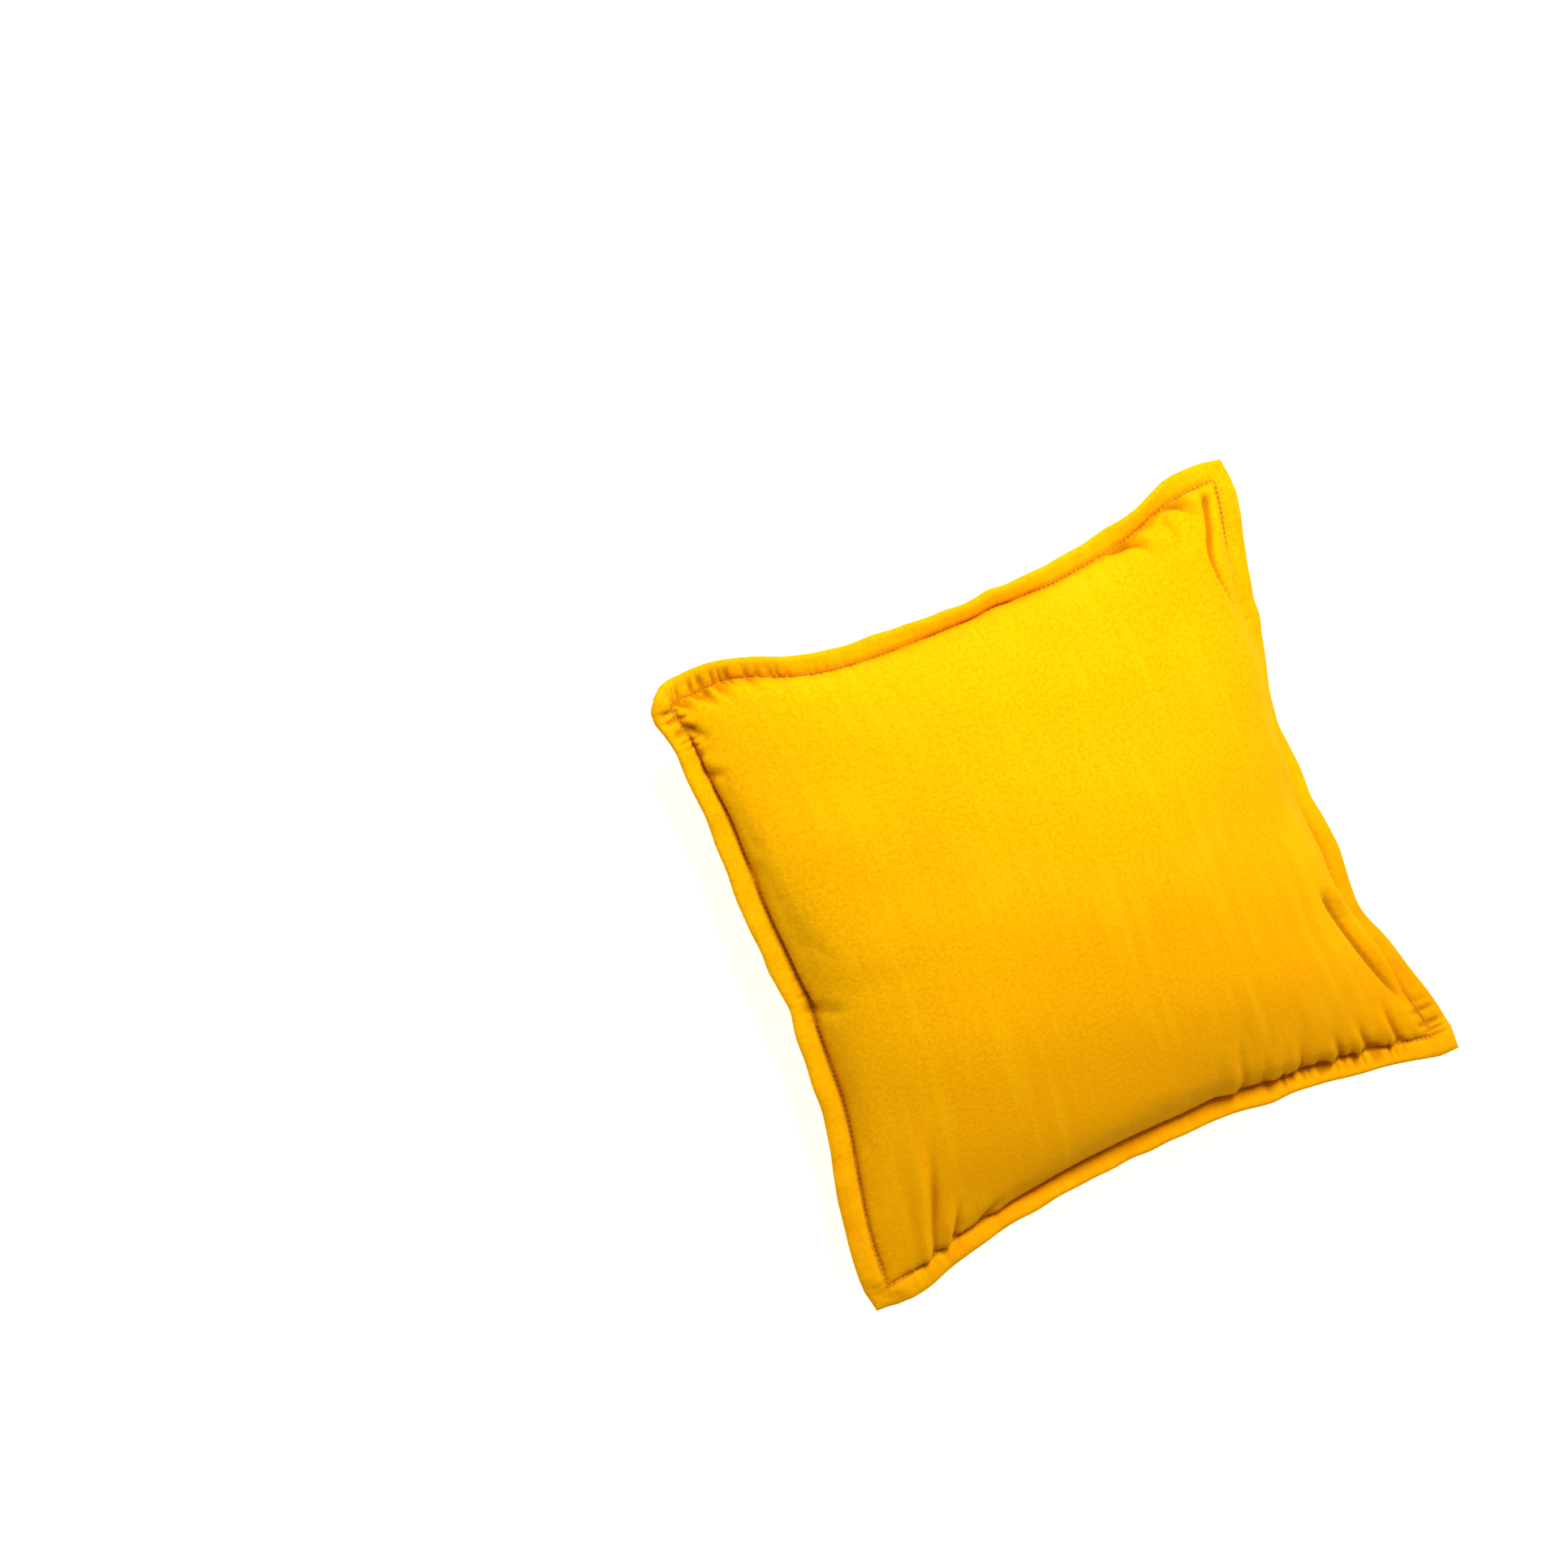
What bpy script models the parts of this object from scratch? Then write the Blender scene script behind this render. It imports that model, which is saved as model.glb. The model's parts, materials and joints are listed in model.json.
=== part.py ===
# A square velvet throw pillow with a narrow topstitched flange, lying on its back with its front up.
# The cover is a front panel and two back panels that a coil zip joins near the bottom hem, and it
# holds a fibre-filled cotton insert. Metres, +Z up, with the origin in the middle of the flat patch
# that the pillow rests on. The bottom hem faces -Y.
import math
from collections import namedtuple

import bmesh
import bpy
from mathutils import Matrix, Vector

# Cover
COVER_SIDE = 0.436  # straight from corner to corner along one side
FLANGE_WIDTH = 0.015
SIDE_PULL_IN = 0.024  # how far the filling draws in the middle of each side
FRONT_LOFT = 0.076
BACK_LOFT = 0.075  # before the floor presses it in
REST_SQUASH = 0.008  # how far the floor presses it in
SWELL_POWER = 0.6  # lower makes the sides steeper and the top flatter
VELVET = 0.0016
FLANGE_BULGE = 0.0011  # how much the turned-in allowance pads out each side of the flange
FLANGE_LIP = 0.0011  # half the flange's thickness at its edge
SEAM_GAP = 0.0003  # between two pieces that are sewn face to face
SEAM_INSET = 0.002  # from the stitch line in to where the two panels part
THREAD_RADIUS = 0.0003
THREAD_CLEAR = 0.00035
STITCH_OUT = 0.0009  # the thread lies this far outside the foot of the swell

# Insert
INSERT_INSET = 0.008  # from the cover's inside to the insert's seam
CASING = 0.0008
CASING_INSET = 0.0015
FILL_INSET = 0.010
FILL_RIM = 0.0004  # half the filling's thickness at its rim
LAYER_GAP = 0.0012  # between plain solids that would touch
FLOOR_ROOM = 0.004  # more between them over the flat patch
INSERT_SEAM_OUT = 0.0012
INSERT_SEAM_RADIUS = 0.0004

# Zip. Depths are measured outwards from the velvet's outer face, so a piece inside has a minus.
ZIP_FROM_HEM = 0.029  # at the middle of the hem's stitch line
ZIP_END_MARGIN = 0.038  # from the side's stitch line, at the corner, to the end of the coils
ZIP_TILT = math.radians(28)  # of the strip that the zip lies in, off level
ZIP_END_ROOM = 0.005  # from the end of the coils to where the slot starts to close
SLOT_HALF = 0.0046
SLOT_CLOSING = 0.006
STRIP_HALF = 0.016  # the strip that follows the zip, either side of its middle
STRIP_END = 0.012  # and past the end of the coils
STRIP_BLEND = 0.045  # up the back, from the strip to the free swell
HEM_BLEND = 0.006  # down to the hem, at the least
TAPE_INNER = 0.0013
TAPE_OUTER = 0.014
TAPE_END = 0.010
TAPE_TOP = -0.0020
TAPE_THICK = 0.0005
COIL_INNER = 0.00015
COIL_OUTER = 0.0019
COIL_LOW = -0.0017
COIL_HIGH = 0.0002
COIL_CHAMFER = 0.0004
COIL_PARTING = 0.00115  # how far the slider's wedge parts each row
STOP_LENGTH = 0.0025
STOP_HIGH = 0.0005
STOP_GAP = 0.0003
BOX_STITCH_ACROSS = 0.0085
BOX_STITCH_END = 0.008
CASING_AT_ZIP = -0.007

# Slider and pull, in the zip's own directions: along it, across it and out of the cover
SLIDER_REAR = -0.0055
SLIDER_FRONT = 0.0055
SLIDER_REAR_HALF = 0.0028
SLIDER_FRONT_HALF = 0.0040
SLIDER_STOP_GAP = 0.001
WING = 0.0010
TOP_WING_LOW = 0.0006
LOW_WING_HIGH = -0.0028
WALL = 0.0006  # of the lips that keep the coils in
LIP_LOW = -0.0014
WEDGE_HALF = 0.0009
WEDGE_TIP_HALF = 0.00015
SINK = 0.0002  # how far joined shapes overlap
BAIL_HALF = 0.0008  # half its width across the zip
BAIL_REACH = 0.0040  # half its length along the zip
BAIL_THICK = 0.0009
BAIL_ROOM = 0.0020  # under its arch
PULL_BAR_RADIUS = 0.00065
PULL_BAR_OUT = 0.00095  # from the top wing to the bar's middle
PULL_LENGTH = 0.018
PULL_HALF = 0.0027
PULL_END_HALF = 0.0033
PULL_ARM_INNER = 0.00135
PULL_EYE_END = 0.0048
PULL_THICK = 0.0011
EDGE_BEVEL = 0.00025

# How finely the plain solids are divided
COVER_STEPS = 18
FLANGE_STEPS = 3
UPPER_STEPS = 16
LOWER_STEPS = 3
INSERT_STEPS = 14
THREAD_STEPS = 14
TAPE_STEPS = 24
COIL_STEPS = 24
PARTING_STEPS = 6

BODY_HALF = COVER_SIDE / 2 - FLANGE_WIDTH
MIDDLE_Z = BACK_LOFT + VELVET + SEAM_GAP / 2 - REST_SQUASH  # the flange's middle plane
ZIP_Y = ZIP_FROM_HEM - (BODY_HALF - SIDE_PULL_IN)
ZIP_HALF = BODY_HALF - ZIP_END_MARGIN

# One skin of the pillow: the half side of its plan, how far it swells to the front and the back, its
# distance from the middle plane at its seam, its depth at the zip and how low it can reach.
Skin = namedtuple("Skin", "half front back base zip_depth floor")
VELVET_OUT = Skin(BODY_HALF, FRONT_LOFT, BACK_LOFT, SEAM_GAP / 2 + VELVET, 0.0, 0.0)
VELVET_IN = Skin(
    BODY_HALF - SEAM_INSET, FRONT_LOFT, BACK_LOFT, SEAM_GAP / 2, -VELVET, VELVET
)
CASING_OUT = Skin(
    VELVET_IN.half - INSERT_INSET,
    FRONT_LOFT - CASING - LAYER_GAP,
    BACK_LOFT - CASING - LAYER_GAP,
    SEAM_GAP / 2 + CASING,
    CASING_AT_ZIP,
    VELVET + FLOOR_ROOM,
)
CASING_IN = Skin(
    CASING_OUT.half - CASING_INSET,
    CASING_OUT.front,
    CASING_OUT.back,
    SEAM_GAP / 2,
    CASING_AT_ZIP - CASING,
    CASING_OUT.floor + CASING,
)
FILL = Skin(
    CASING_IN.half - FILL_INSET,
    CASING_IN.front - FILL_RIM - LAYER_GAP,
    CASING_IN.back - FILL_RIM - LAYER_GAP,
    FILL_RIM,
    CASING_IN.zip_depth - FLOOR_ROOM,
    CASING_IN.floor + FLOOR_ROOM,
)


def clear_scene():
    for thing in list(bpy.data.objects):
        bpy.data.objects.remove(thing, do_unlink=True)


def material(name, colour, roughness, metallic=0.0):
    made = bpy.data.materials.new(name)
    made.use_nodes = True
    shader = made.node_tree.nodes["Principled BSDF"]
    shader.inputs["Base Color"].default_value = (*colour, 1.0)
    shader.inputs["Roughness"].default_value = roughness
    shader.inputs["Metallic"].default_value = metallic
    return made


def smooth(share):
    share = min(max(share, 0.0), 1.0)
    return share * share * (3 - 2 * share)


def side_reach(half, other):
    """How far a side stands from the middle, where other is the share of the way to a corner."""
    return half - SIDE_PULL_IN * (1 - other * other)


def plan(s, t, half):
    """The point of a square with drawn-in sides, s and t being shares of its half widths."""
    return s * side_reach(half, t), t * side_reach(half, s)


def shares_at(x, y, half):
    """The s and t that plan() turns into x and y."""
    s, t = x / half, y / half
    for _ in range(40):
        s = x / side_reach(half, t)
        t = y / side_reach(half, s)
    return s, t


def swell(s, t):
    """1 in the middle and 0 along the stitch line."""
    return (max(1 - s * s, 0.0) * max(1 - t * t, 0.0)) ** SWELL_POWER


def natural_back(x, y, skin):
    return MIDDLE_Z - skin.base - skin.back * swell(*shares_at(x, y, skin.half))


# The zip's line is an arc in an XZ plane, through the swell at its middle and at its two ends.
ZIP_LOW_Z = natural_back(0.0, ZIP_Y, VELVET_OUT)
ZIP_RISE = natural_back(ZIP_HALF, ZIP_Y, VELVET_OUT) - ZIP_LOW_Z
ZIP_RADIUS = (ZIP_HALF**2 + ZIP_RISE**2) / (2 * ZIP_RISE)
ZIP_CENTRE_Z = ZIP_LOW_Z + ZIP_RADIUS


def zip_frame(along, across=0.0, out=0.0):
    """The place on the zip's strip, along its arc, across it towards +Y and out of the cover."""
    angle = along / ZIP_RADIUS
    reach = ZIP_RADIUS + across * math.sin(ZIP_TILT) + out * math.cos(ZIP_TILT)
    return Vector(
        (
            reach * math.sin(angle),
            ZIP_Y + across * math.cos(ZIP_TILT) - out * math.sin(ZIP_TILT),
            ZIP_CENTRE_Z - reach * math.cos(angle),
        )
    )


def zip_matrix(along, out):
    """Axes along the zip, across it and outwards, at a point on its middle line."""
    ahead = zip_frame(along + 1e-4, 0.0, out) - zip_frame(along - 1e-4, 0.0, out)
    ahead.normalize()
    outward = zip_frame(along, 0.0, out + 1e-3) - zip_frame(along, 0.0, out)
    outward.normalize()
    across = outward.cross(ahead)
    columns = Matrix((ahead, across, outward)).transposed().to_4x4()
    return Matrix.Translation(zip_frame(along, 0.0, out)) @ columns


def strip_share(x, y, s, t, half):
    """1 where the back follows the zip's strip, falling to 0 at the stitch line and up the back."""
    side = side_reach(half, t)
    hem = side_reach(half, s)
    to_side = (side - abs(x)) / max(side - ZIP_HALF - STRIP_END, HEM_BLEND)
    to_hem = (y + hem) / max(ZIP_Y - STRIP_HALF + hem, HEM_BLEND)
    to_middle = (ZIP_Y + STRIP_HALF + STRIP_BLEND - y) / STRIP_BLEND
    return smooth(to_side) * smooth(to_hem) * smooth(to_middle)


def front_height(s, t, skin):
    return MIDDLE_Z + skin.base + skin.front * swell(s, t)


def back_height(s, t, skin):
    x, y = plan(s, t, skin.half)
    free = MIDDLE_Z - skin.base - skin.back * swell(s, t)
    reach = ZIP_RADIUS + (y - ZIP_Y) * math.tan(ZIP_TILT) + skin.zip_depth / math.cos(ZIP_TILT)
    strip = ZIP_CENTRE_Z - math.sqrt(reach * reach - x * x)
    share = strip_share(x, y, s, t, skin.half)
    return max(free + (strip - free) * share, skin.floor)


def flange_thickness(share):
    """Of one side of the flange, a share of the way from the stitch line to the edge."""
    return VELVET + (FLANGE_LIP - VELVET) * share + FLANGE_BULGE * 4 * share * (1 - share)


def add_object(name, mesh, coat):
    data = bpy.data.meshes.new(name)
    bmesh.ops.recalc_face_normals(mesh, faces=mesh.faces)
    mesh.to_mesh(data)
    mesh.free()
    data.materials.append(coat)
    data.shade_smooth()
    made = bpy.data.objects.new(name, data)
    bpy.context.scene.collection.objects.link(made)
    return made


def closed_shell(name, coat, columns, rows, outer, inner):
    """Two skins over the same grid lines, with a strip round the rim that closes them."""
    mesh = bmesh.new()
    skins = []
    for place in (outer, inner):
        skin = [[mesh.verts.new(place(c, r)) for c in columns] for r in rows]
        for low, high in zip(skin, skin[1:]):
            for a, b, c, d in zip(low, low[1:], high[1:], high):
                mesh.faces.new((a, b, c, d))
        skins.append(skin)
    rims = []
    for skin in skins:
        left = [row[0] for row in skin[-2:0:-1]]
        right = [row[-1] for row in skin[1:-1]]
        rims.append(skin[0] + right + skin[-1][::-1] + left)
    for i, corner in enumerate(rims[0]):
        mesh.faces.new((rims[0][i - 1], corner, rims[1][i], rims[1][i - 1]))
    return add_object(name, mesh, coat)


def grid_lines(steps, with_flange=True):
    """(share of the half width, share of the flange), closer together towards the stitch line."""
    body = [(math.sin(math.pi * (i / steps - 0.5)), 0.0) for i in range(steps + 1)]
    if not with_flange:
        return body
    flange = [i / FLANGE_STEPS for i in range(1, FLANGE_STEPS + 1)]
    return [(-1.0, -f) for f in flange[::-1]] + body + [(1.0, f) for f in flange]


def cover_point(s, t, out_s, out_t, skin, height, side):
    """A point of a cover panel: on its swell, or on its flange where out_s or out_t isn't 0."""
    x, y = plan(s, t, skin.half)
    beyond = FLANGE_WIDTH + VELVET_OUT.half - skin.half
    x += out_s * beyond
    y += out_t * beyond
    share = max(abs(out_s), abs(out_t))
    if share == 0.0:
        return x, y, height(s, t, skin)
    off_middle = SEAM_GAP / 2
    if skin is VELVET_OUT:
        off_middle += flange_thickness(share)
    return x, y, MIDDLE_Z + side * off_middle


def make_front(coat):
    lines = grid_lines(COVER_STEPS)

    def skin_place(skin):
        return lambda c, r: cover_point(c[0], r[0], c[1], r[1], skin, front_height, 1)

    closed_shell(
        "cover_front", coat, lines, lines, skin_place(VELVET_OUT), skin_place(VELVET_IN)
    )


def back_columns():
    """The cover's grid lines, with one where the slot starts to close and one where it is closed."""
    opens = ZIP_HALF + ZIP_END_ROOM
    ends = [shares_at(x, ZIP_Y, BODY_HALF)[0] for x in (opens, opens + SLOT_CLOSING)]
    near = SLOT_CLOSING / 2 / BODY_HALF
    kept = [
        line
        for line in grid_lines(COVER_STEPS)
        if abs(line[0]) == 1.0 or min(abs(abs(line[0]) - end) for end in ends) > near
    ]
    return sorted(kept + [(side * end, 0.0) for end in ends for side in (-1, 1)])


def slot_offset(s, half):
    """From the zip's middle line to the panel's edge, along the slot and the seams past its ends."""
    t = ZIP_Y / side_reach(half, s)
    past = (abs(s) * side_reach(half, t) - ZIP_HALF - ZIP_END_ROOM) / SLOT_CLOSING
    return SLOT_HALF + (SEAM_GAP / 2 - SLOT_HALF) * smooth(past)


def make_back_panel(name, coat, side, steps):
    """The panel above the zip, where side is 1, or the narrow one below it, where side is -1."""
    rows = [("slot", 0.0, 0.0), ("strip", 0.0, 0.0)]
    rows += [("strip", smooth(i / steps), 0.0) for i in range(1, steps + 1)]
    rows += [("strip", 1.0, side * i / FLANGE_STEPS) for i in range(1, FLANGE_STEPS + 1)]

    def skin_place(skin):
        def place(column, row):
            s, out_s = column
            start, share, out_t = row
            offset = slot_offset(s, skin.half) if start == "slot" else STRIP_HALF
            first = zip_frame(0.0, side * offset, skin.zip_depth).y / side_reach(skin.half, s)
            t = first + (side - first) * share
            return cover_point(s, t, out_s, out_t, skin, back_height, -1)

        return place

    closed_shell(
        name, coat, back_columns(), rows, skin_place(VELVET_OUT), skin_place(VELVET_IN)
    )


def make_casing(name, coat, height):
    lines = grid_lines(INSERT_STEPS, with_flange=False)

    def skin_place(skin):
        return lambda c, r: (*plan(c[0], r[0], skin.half), height(c[0], r[0], skin))

    closed_shell(name, coat, lines, lines, skin_place(CASING_OUT), skin_place(CASING_IN))


def make_fill(coat):
    lines = grid_lines(INSERT_STEPS, with_flange=False)

    def place(height):
        return lambda c, r: (*plan(c[0], r[0], FILL.half), height(c[0], r[0], FILL))

    closed_shell("insert_fill", coat, lines, lines, place(front_height), place(back_height))


def thread_loop(name, coat, points, radius):
    curve = bpy.data.curves.new(name, "CURVE")
    curve.dimensions = "3D"
    curve.bevel_depth = radius
    curve.bevel_resolution = 1
    spline = curve.splines.new("POLY")
    spline.points.add(len(points) - 1)
    for point, place in zip(spline.points, points):
        point.co = (*place, 1.0)
    spline.use_cyclic_u = True
    curve.materials.append(coat)
    made = bpy.data.objects.new(name, curve)
    bpy.context.scene.collection.objects.link(made)


def round_the_side(half, height):
    """Points round the pillow, parallel to its stitch line."""
    points = []
    for turn in range(4):
        for step in range(THREAD_STEPS):
            t = 2 * step / THREAD_STEPS - 1
            corner = Vector((side_reach(half, t), t * half, height))
            points.append(Matrix.Rotation(turn * math.pi / 2, 3, "Z") @ corner)
    return points


def make_threads(cotton):
    lift = SEAM_GAP / 2 + flange_thickness(2 * STITCH_OUT / FLANGE_WIDTH)
    lift += THREAD_CLEAR + THREAD_RADIUS
    for name, side in (("topstitch_front", 1), ("topstitch_back", -1)):
        points = round_the_side(BODY_HALF + STITCH_OUT, MIDDLE_Z + side * lift)
        thread_loop(name, cotton, points, THREAD_RADIUS)
    seam = round_the_side(CASING_OUT.half + INSERT_SEAM_OUT, MIDDLE_Z)
    thread_loop("insert_seam_thread", cotton, seam, INSERT_SEAM_RADIUS)


def make_box_stitch(coat):
    """The thread that holds the zip's tapes to the back panels, in a box round the slot."""
    out = THREAD_CLEAR + THREAD_RADIUS
    end = ZIP_HALF + BOX_STITCH_END
    runs = [end * (2 * i / TAPE_STEPS - 1) for i in range(TAPE_STEPS + 1)]
    points = [zip_frame(along, BOX_STITCH_ACROSS, out) for along in runs]
    points += [zip_frame(along, -BOX_STITCH_ACROSS, out) for along in runs[::-1]]
    thread_loop("zip_box_stitch", coat, points, THREAD_RADIUS)


def swept(name, coat, stations, profile):
    """A bar of the given profile, (across, out) points, through each (along, shift across)."""
    mesh = bmesh.new()
    rings = [
        [mesh.verts.new(zip_frame(along, across + shift, out)) for across, out in profile]
        for along, shift in stations
    ]
    for first, second in zip(rings, rings[1:]):
        for i in range(len(profile)):
            mesh.faces.new((first[i - 1], first[i], second[i], second[i - 1]))
    mesh.faces.new(rings[0])
    mesh.faces.new(rings[-1][::-1])
    return add_object(name, mesh, coat)


def box_profile(inner, outer, low, high, chamfer=0.0):
    """A rectangle whose two outward corners are cut off by the chamfer."""
    if not chamfer:
        return [(inner, low), (outer, low), (outer, high), (inner, high)]
    return [
        (inner, low),
        (outer, low),
        (outer, high - chamfer),
        (outer - chamfer, high),
        (inner + chamfer, high),
        (inner, high - chamfer),
    ]


SLIDER_AT = ZIP_HALF - SLIDER_FRONT - SLIDER_STOP_GAP


def row_parting(along):
    """How far the slider's wedge parts a row of the coil, at this distance along the zip."""
    start = SLIDER_AT + SLIDER_REAR * 0.4
    full = SLIDER_AT + SLIDER_FRONT * 0.45
    return COIL_PARTING * smooth((along - start) / (full - start))


def make_zip(tape, nylon, metal):
    tape_end = ZIP_HALF + TAPE_END
    tape_line = [(tape_end * (2 * i / TAPE_STEPS - 1), 0.0) for i in range(TAPE_STEPS + 1)]
    start = SLIDER_AT + SLIDER_REAR
    closed = [-ZIP_HALF + (start + ZIP_HALF) * i / COIL_STEPS for i in range(COIL_STEPS)]
    parting = [start + (ZIP_HALF - start) * i / PARTING_STEPS for i in range(PARTING_STEPS + 1)]
    for name, side in (("upper", 1), ("lower", -1)):
        edges = (TAPE_INNER, TAPE_OUTER, TAPE_TOP - TAPE_THICK, TAPE_TOP)
        profile = [(side * across, out) for across, out in box_profile(*edges)]
        swept(f"zip_tape_{name}", tape, tape_line, profile)
        edges = (COIL_INNER, COIL_OUTER, COIL_LOW, COIL_HIGH, COIL_CHAMFER)
        profile = [(side * across, out) for across, out in box_profile(*edges)]
        row = [(along, side * row_parting(along)) for along in closed + parting]
        swept(f"zip_coil_{name}", nylon, row, profile)
        edges = (COIL_INNER, COIL_OUTER, COIL_LOW, STOP_HIGH, COIL_CHAMFER)
        profile = [(side * across, out) for across, out in box_profile(*edges)]
        stop = [(ZIP_HALF + STOP_GAP + far, side * COIL_PARTING) for far in (0.0, STOP_LENGTH)]
        swept(f"zip_top_stop_{name}", metal, stop, profile)
    end = [(-ZIP_HALF - STOP_GAP - far, 0.0) for far in (STOP_LENGTH, 0.0)]
    edges = (-COIL_OUTER, COIL_OUTER, COIL_LOW, STOP_HIGH, COIL_CHAMFER)
    swept("zip_bottom_stop", metal, end, box_profile(*edges))


def prism(outline, low, high, place):
    """The outline carried from low to high. place turns each (a, b, level) into a point."""
    mesh = bmesh.new()
    base = mesh.faces.new([mesh.verts.new(place(a, b, low)) for a, b in outline])
    risen = bmesh.ops.extrude_face_region(mesh, geom=[base])["geom"]
    travel = Vector(place(0.0, 0.0, high)) - Vector(place(0.0, 0.0, low))
    corners = [item for item in risen if isinstance(item, bmesh.types.BMVert)]
    bmesh.ops.translate(mesh, verts=corners, vec=travel)
    return mesh


def unite(body, others):
    for other in others:
        other.hide_render = True
        other.display_type = "WIRE"
        other.parent = body
        joining = body.modifiers.new(f"Join {other.name}", "BOOLEAN")
        joining.operation = "UNION"
        joining.solver = "EXACT"
        joining.object = other


def ease_edges(body):
    bevel = body.modifiers.new("Eased edges", "BEVEL")
    bevel.width = EDGE_BEVEL
    bevel.segments = 1
    bevel.limit_method = "ANGLE"


def wing_outline():
    """The slider's plan: wide shoulders at the front, drawn in towards the rear."""
    rear, front = SLIDER_REAR, SLIDER_FRONT
    narrow, wide = SLIDER_REAR_HALF, SLIDER_FRONT_HALF
    upper = [
        (rear, narrow * 0.8),
        (rear * 0.85, narrow),
        (rear * 0.2, narrow * 1.08),
        (front * 0.35, wide),
        (front * 0.8, wide),
        (front, wide * 0.8),
    ]
    return [(a, -b) for a, b in upper] + upper[::-1]


def lip_outline(side):
    """The wall along one side of the slider, as wide as WALL."""
    edge = [(a, b) for a, b in wing_outline() if b * side > 0]
    edge.sort()
    edge = edge[1:-1]
    inner = [(a, b - side * WALL) for a, b in edge]
    return edge + inner[::-1]


def flat(a, b, level):
    return a, b, level


def sideways(a, b, level):
    return a, level, b


def make_slider(metal):
    top_high = TOP_WING_LOW + WING
    wing = prism(wing_outline(), TOP_WING_LOW, top_high, flat)
    body = add_object("zip_slider", wing, metal)
    low_wing = prism(wing_outline(), LOW_WING_HIGH - WING, LOW_WING_HIGH, flat)
    wedge = [
        (0.0, -WEDGE_TIP_HALF),
        (SLIDER_FRONT * 0.4, -WEDGE_HALF),
        (SLIDER_FRONT * 0.9, -WEDGE_HALF),
        (SLIDER_FRONT * 0.9, WEDGE_HALF),
        (SLIDER_FRONT * 0.4, WEDGE_HALF),
        (0.0, WEDGE_TIP_HALF),
    ]
    post = prism(wedge, LOW_WING_HIGH - SINK, TOP_WING_LOW + SINK, flat)
    inner_reach = BAIL_REACH - BAIL_THICK
    arch = top_high + BAIL_ROOM
    bail = [
        (-BAIL_REACH, top_high - SINK),
        (-BAIL_REACH, arch - BAIL_THICK / 2),
        (-inner_reach, arch + BAIL_THICK),
        (inner_reach, arch + BAIL_THICK),
        (BAIL_REACH, arch - BAIL_THICK / 2),
        (BAIL_REACH, top_high - SINK),
        (inner_reach, top_high - SINK),
        (inner_reach, arch - BAIL_THICK / 2),
        (inner_reach - BAIL_THICK / 2, arch),
        (BAIL_THICK / 2 - inner_reach, arch),
        (-inner_reach, arch - BAIL_THICK / 2),
        (-inner_reach, top_high - SINK),
    ]
    bridge = prism(bail, -BAIL_HALF, BAIL_HALF, sideways)
    joined = [("low_wing", low_wing), ("wedge", post), ("bail", bridge)]
    for name, side in (("lip_upper", 1), ("lip_lower", -1)):
        lip = prism(lip_outline(side), LIP_LOW, TOP_WING_LOW + SINK, flat)
        joined.append((name, lip))
    unite(body, [add_object(f"slider_{name}", mesh, metal) for name, mesh in joined])
    ease_edges(body)
    axis = bpy.data.objects.new("zip_run_axis", None)
    axis.location = (0.0, ZIP_Y, ZIP_CENTRE_Z)
    bpy.context.scene.collection.objects.link(axis)
    body.parent = axis
    body.matrix_basis = Matrix.Translation(-axis.location) @ zip_matrix(SLIDER_AT, 0.0)
    return body


def pull_rest():
    """The bar's place and the tab's hanging direction: as low as it can swing about the bar."""
    out = TOP_WING_LOW + WING + PULL_BAR_OUT
    frame = zip_matrix(SLIDER_AT, out)
    across = frame.to_3x3().col[1].normalized()
    down = Vector((0.0, 0.0, -1.0))
    down = (down - across * down.dot(across)).normalized()
    along = across.cross(down)
    turned = Matrix((along, across, down)).transposed().to_4x4()
    return Matrix.Translation(frame.translation) @ turned


def make_pull(metal, slider):
    """A tab with an eye that the slider's bail passes through. Its origin is on the bar's axis."""
    outer = [
        (-PULL_HALF, -PULL_BAR_RADIUS),
        (PULL_HALF, -PULL_BAR_RADIUS),
        (PULL_HALF, PULL_EYE_END),
        (PULL_END_HALF, PULL_LENGTH * 0.6),
        (PULL_END_HALF, PULL_LENGTH * 0.93),
        (PULL_END_HALF * 0.7, PULL_LENGTH),
        (-PULL_END_HALF * 0.7, PULL_LENGTH),
        (-PULL_END_HALF, PULL_LENGTH * 0.93),
        (-PULL_END_HALF, PULL_LENGTH * 0.6),
        (-PULL_HALF, PULL_EYE_END),
    ]
    eye = [
        (-PULL_ARM_INNER, PULL_BAR_RADIUS),
        (PULL_ARM_INNER, PULL_BAR_RADIUS),
        (PULL_ARM_INNER, PULL_EYE_END),
        (-PULL_ARM_INNER, PULL_EYE_END),
    ]

    def on_edge(a, b, level):
        return level, a, b

    thick = PULL_THICK / 2
    body = add_object("zip_pull", prism(outer, -thick, thick, on_edge), metal)
    hole = add_object("pull_eye", prism(eye, -PULL_THICK, PULL_THICK, on_edge), metal)
    hole.hide_render = True
    hole.display_type = "WIRE"
    hole.parent = body
    cut = body.modifiers.new("Eye", "BOOLEAN")
    cut.operation = "DIFFERENCE"
    cut.solver = "EXACT"
    cut.object = hole
    ease_edges(body)
    body.parent = slider
    bpy.context.view_layer.update()
    body.matrix_world = pull_rest()


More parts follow.
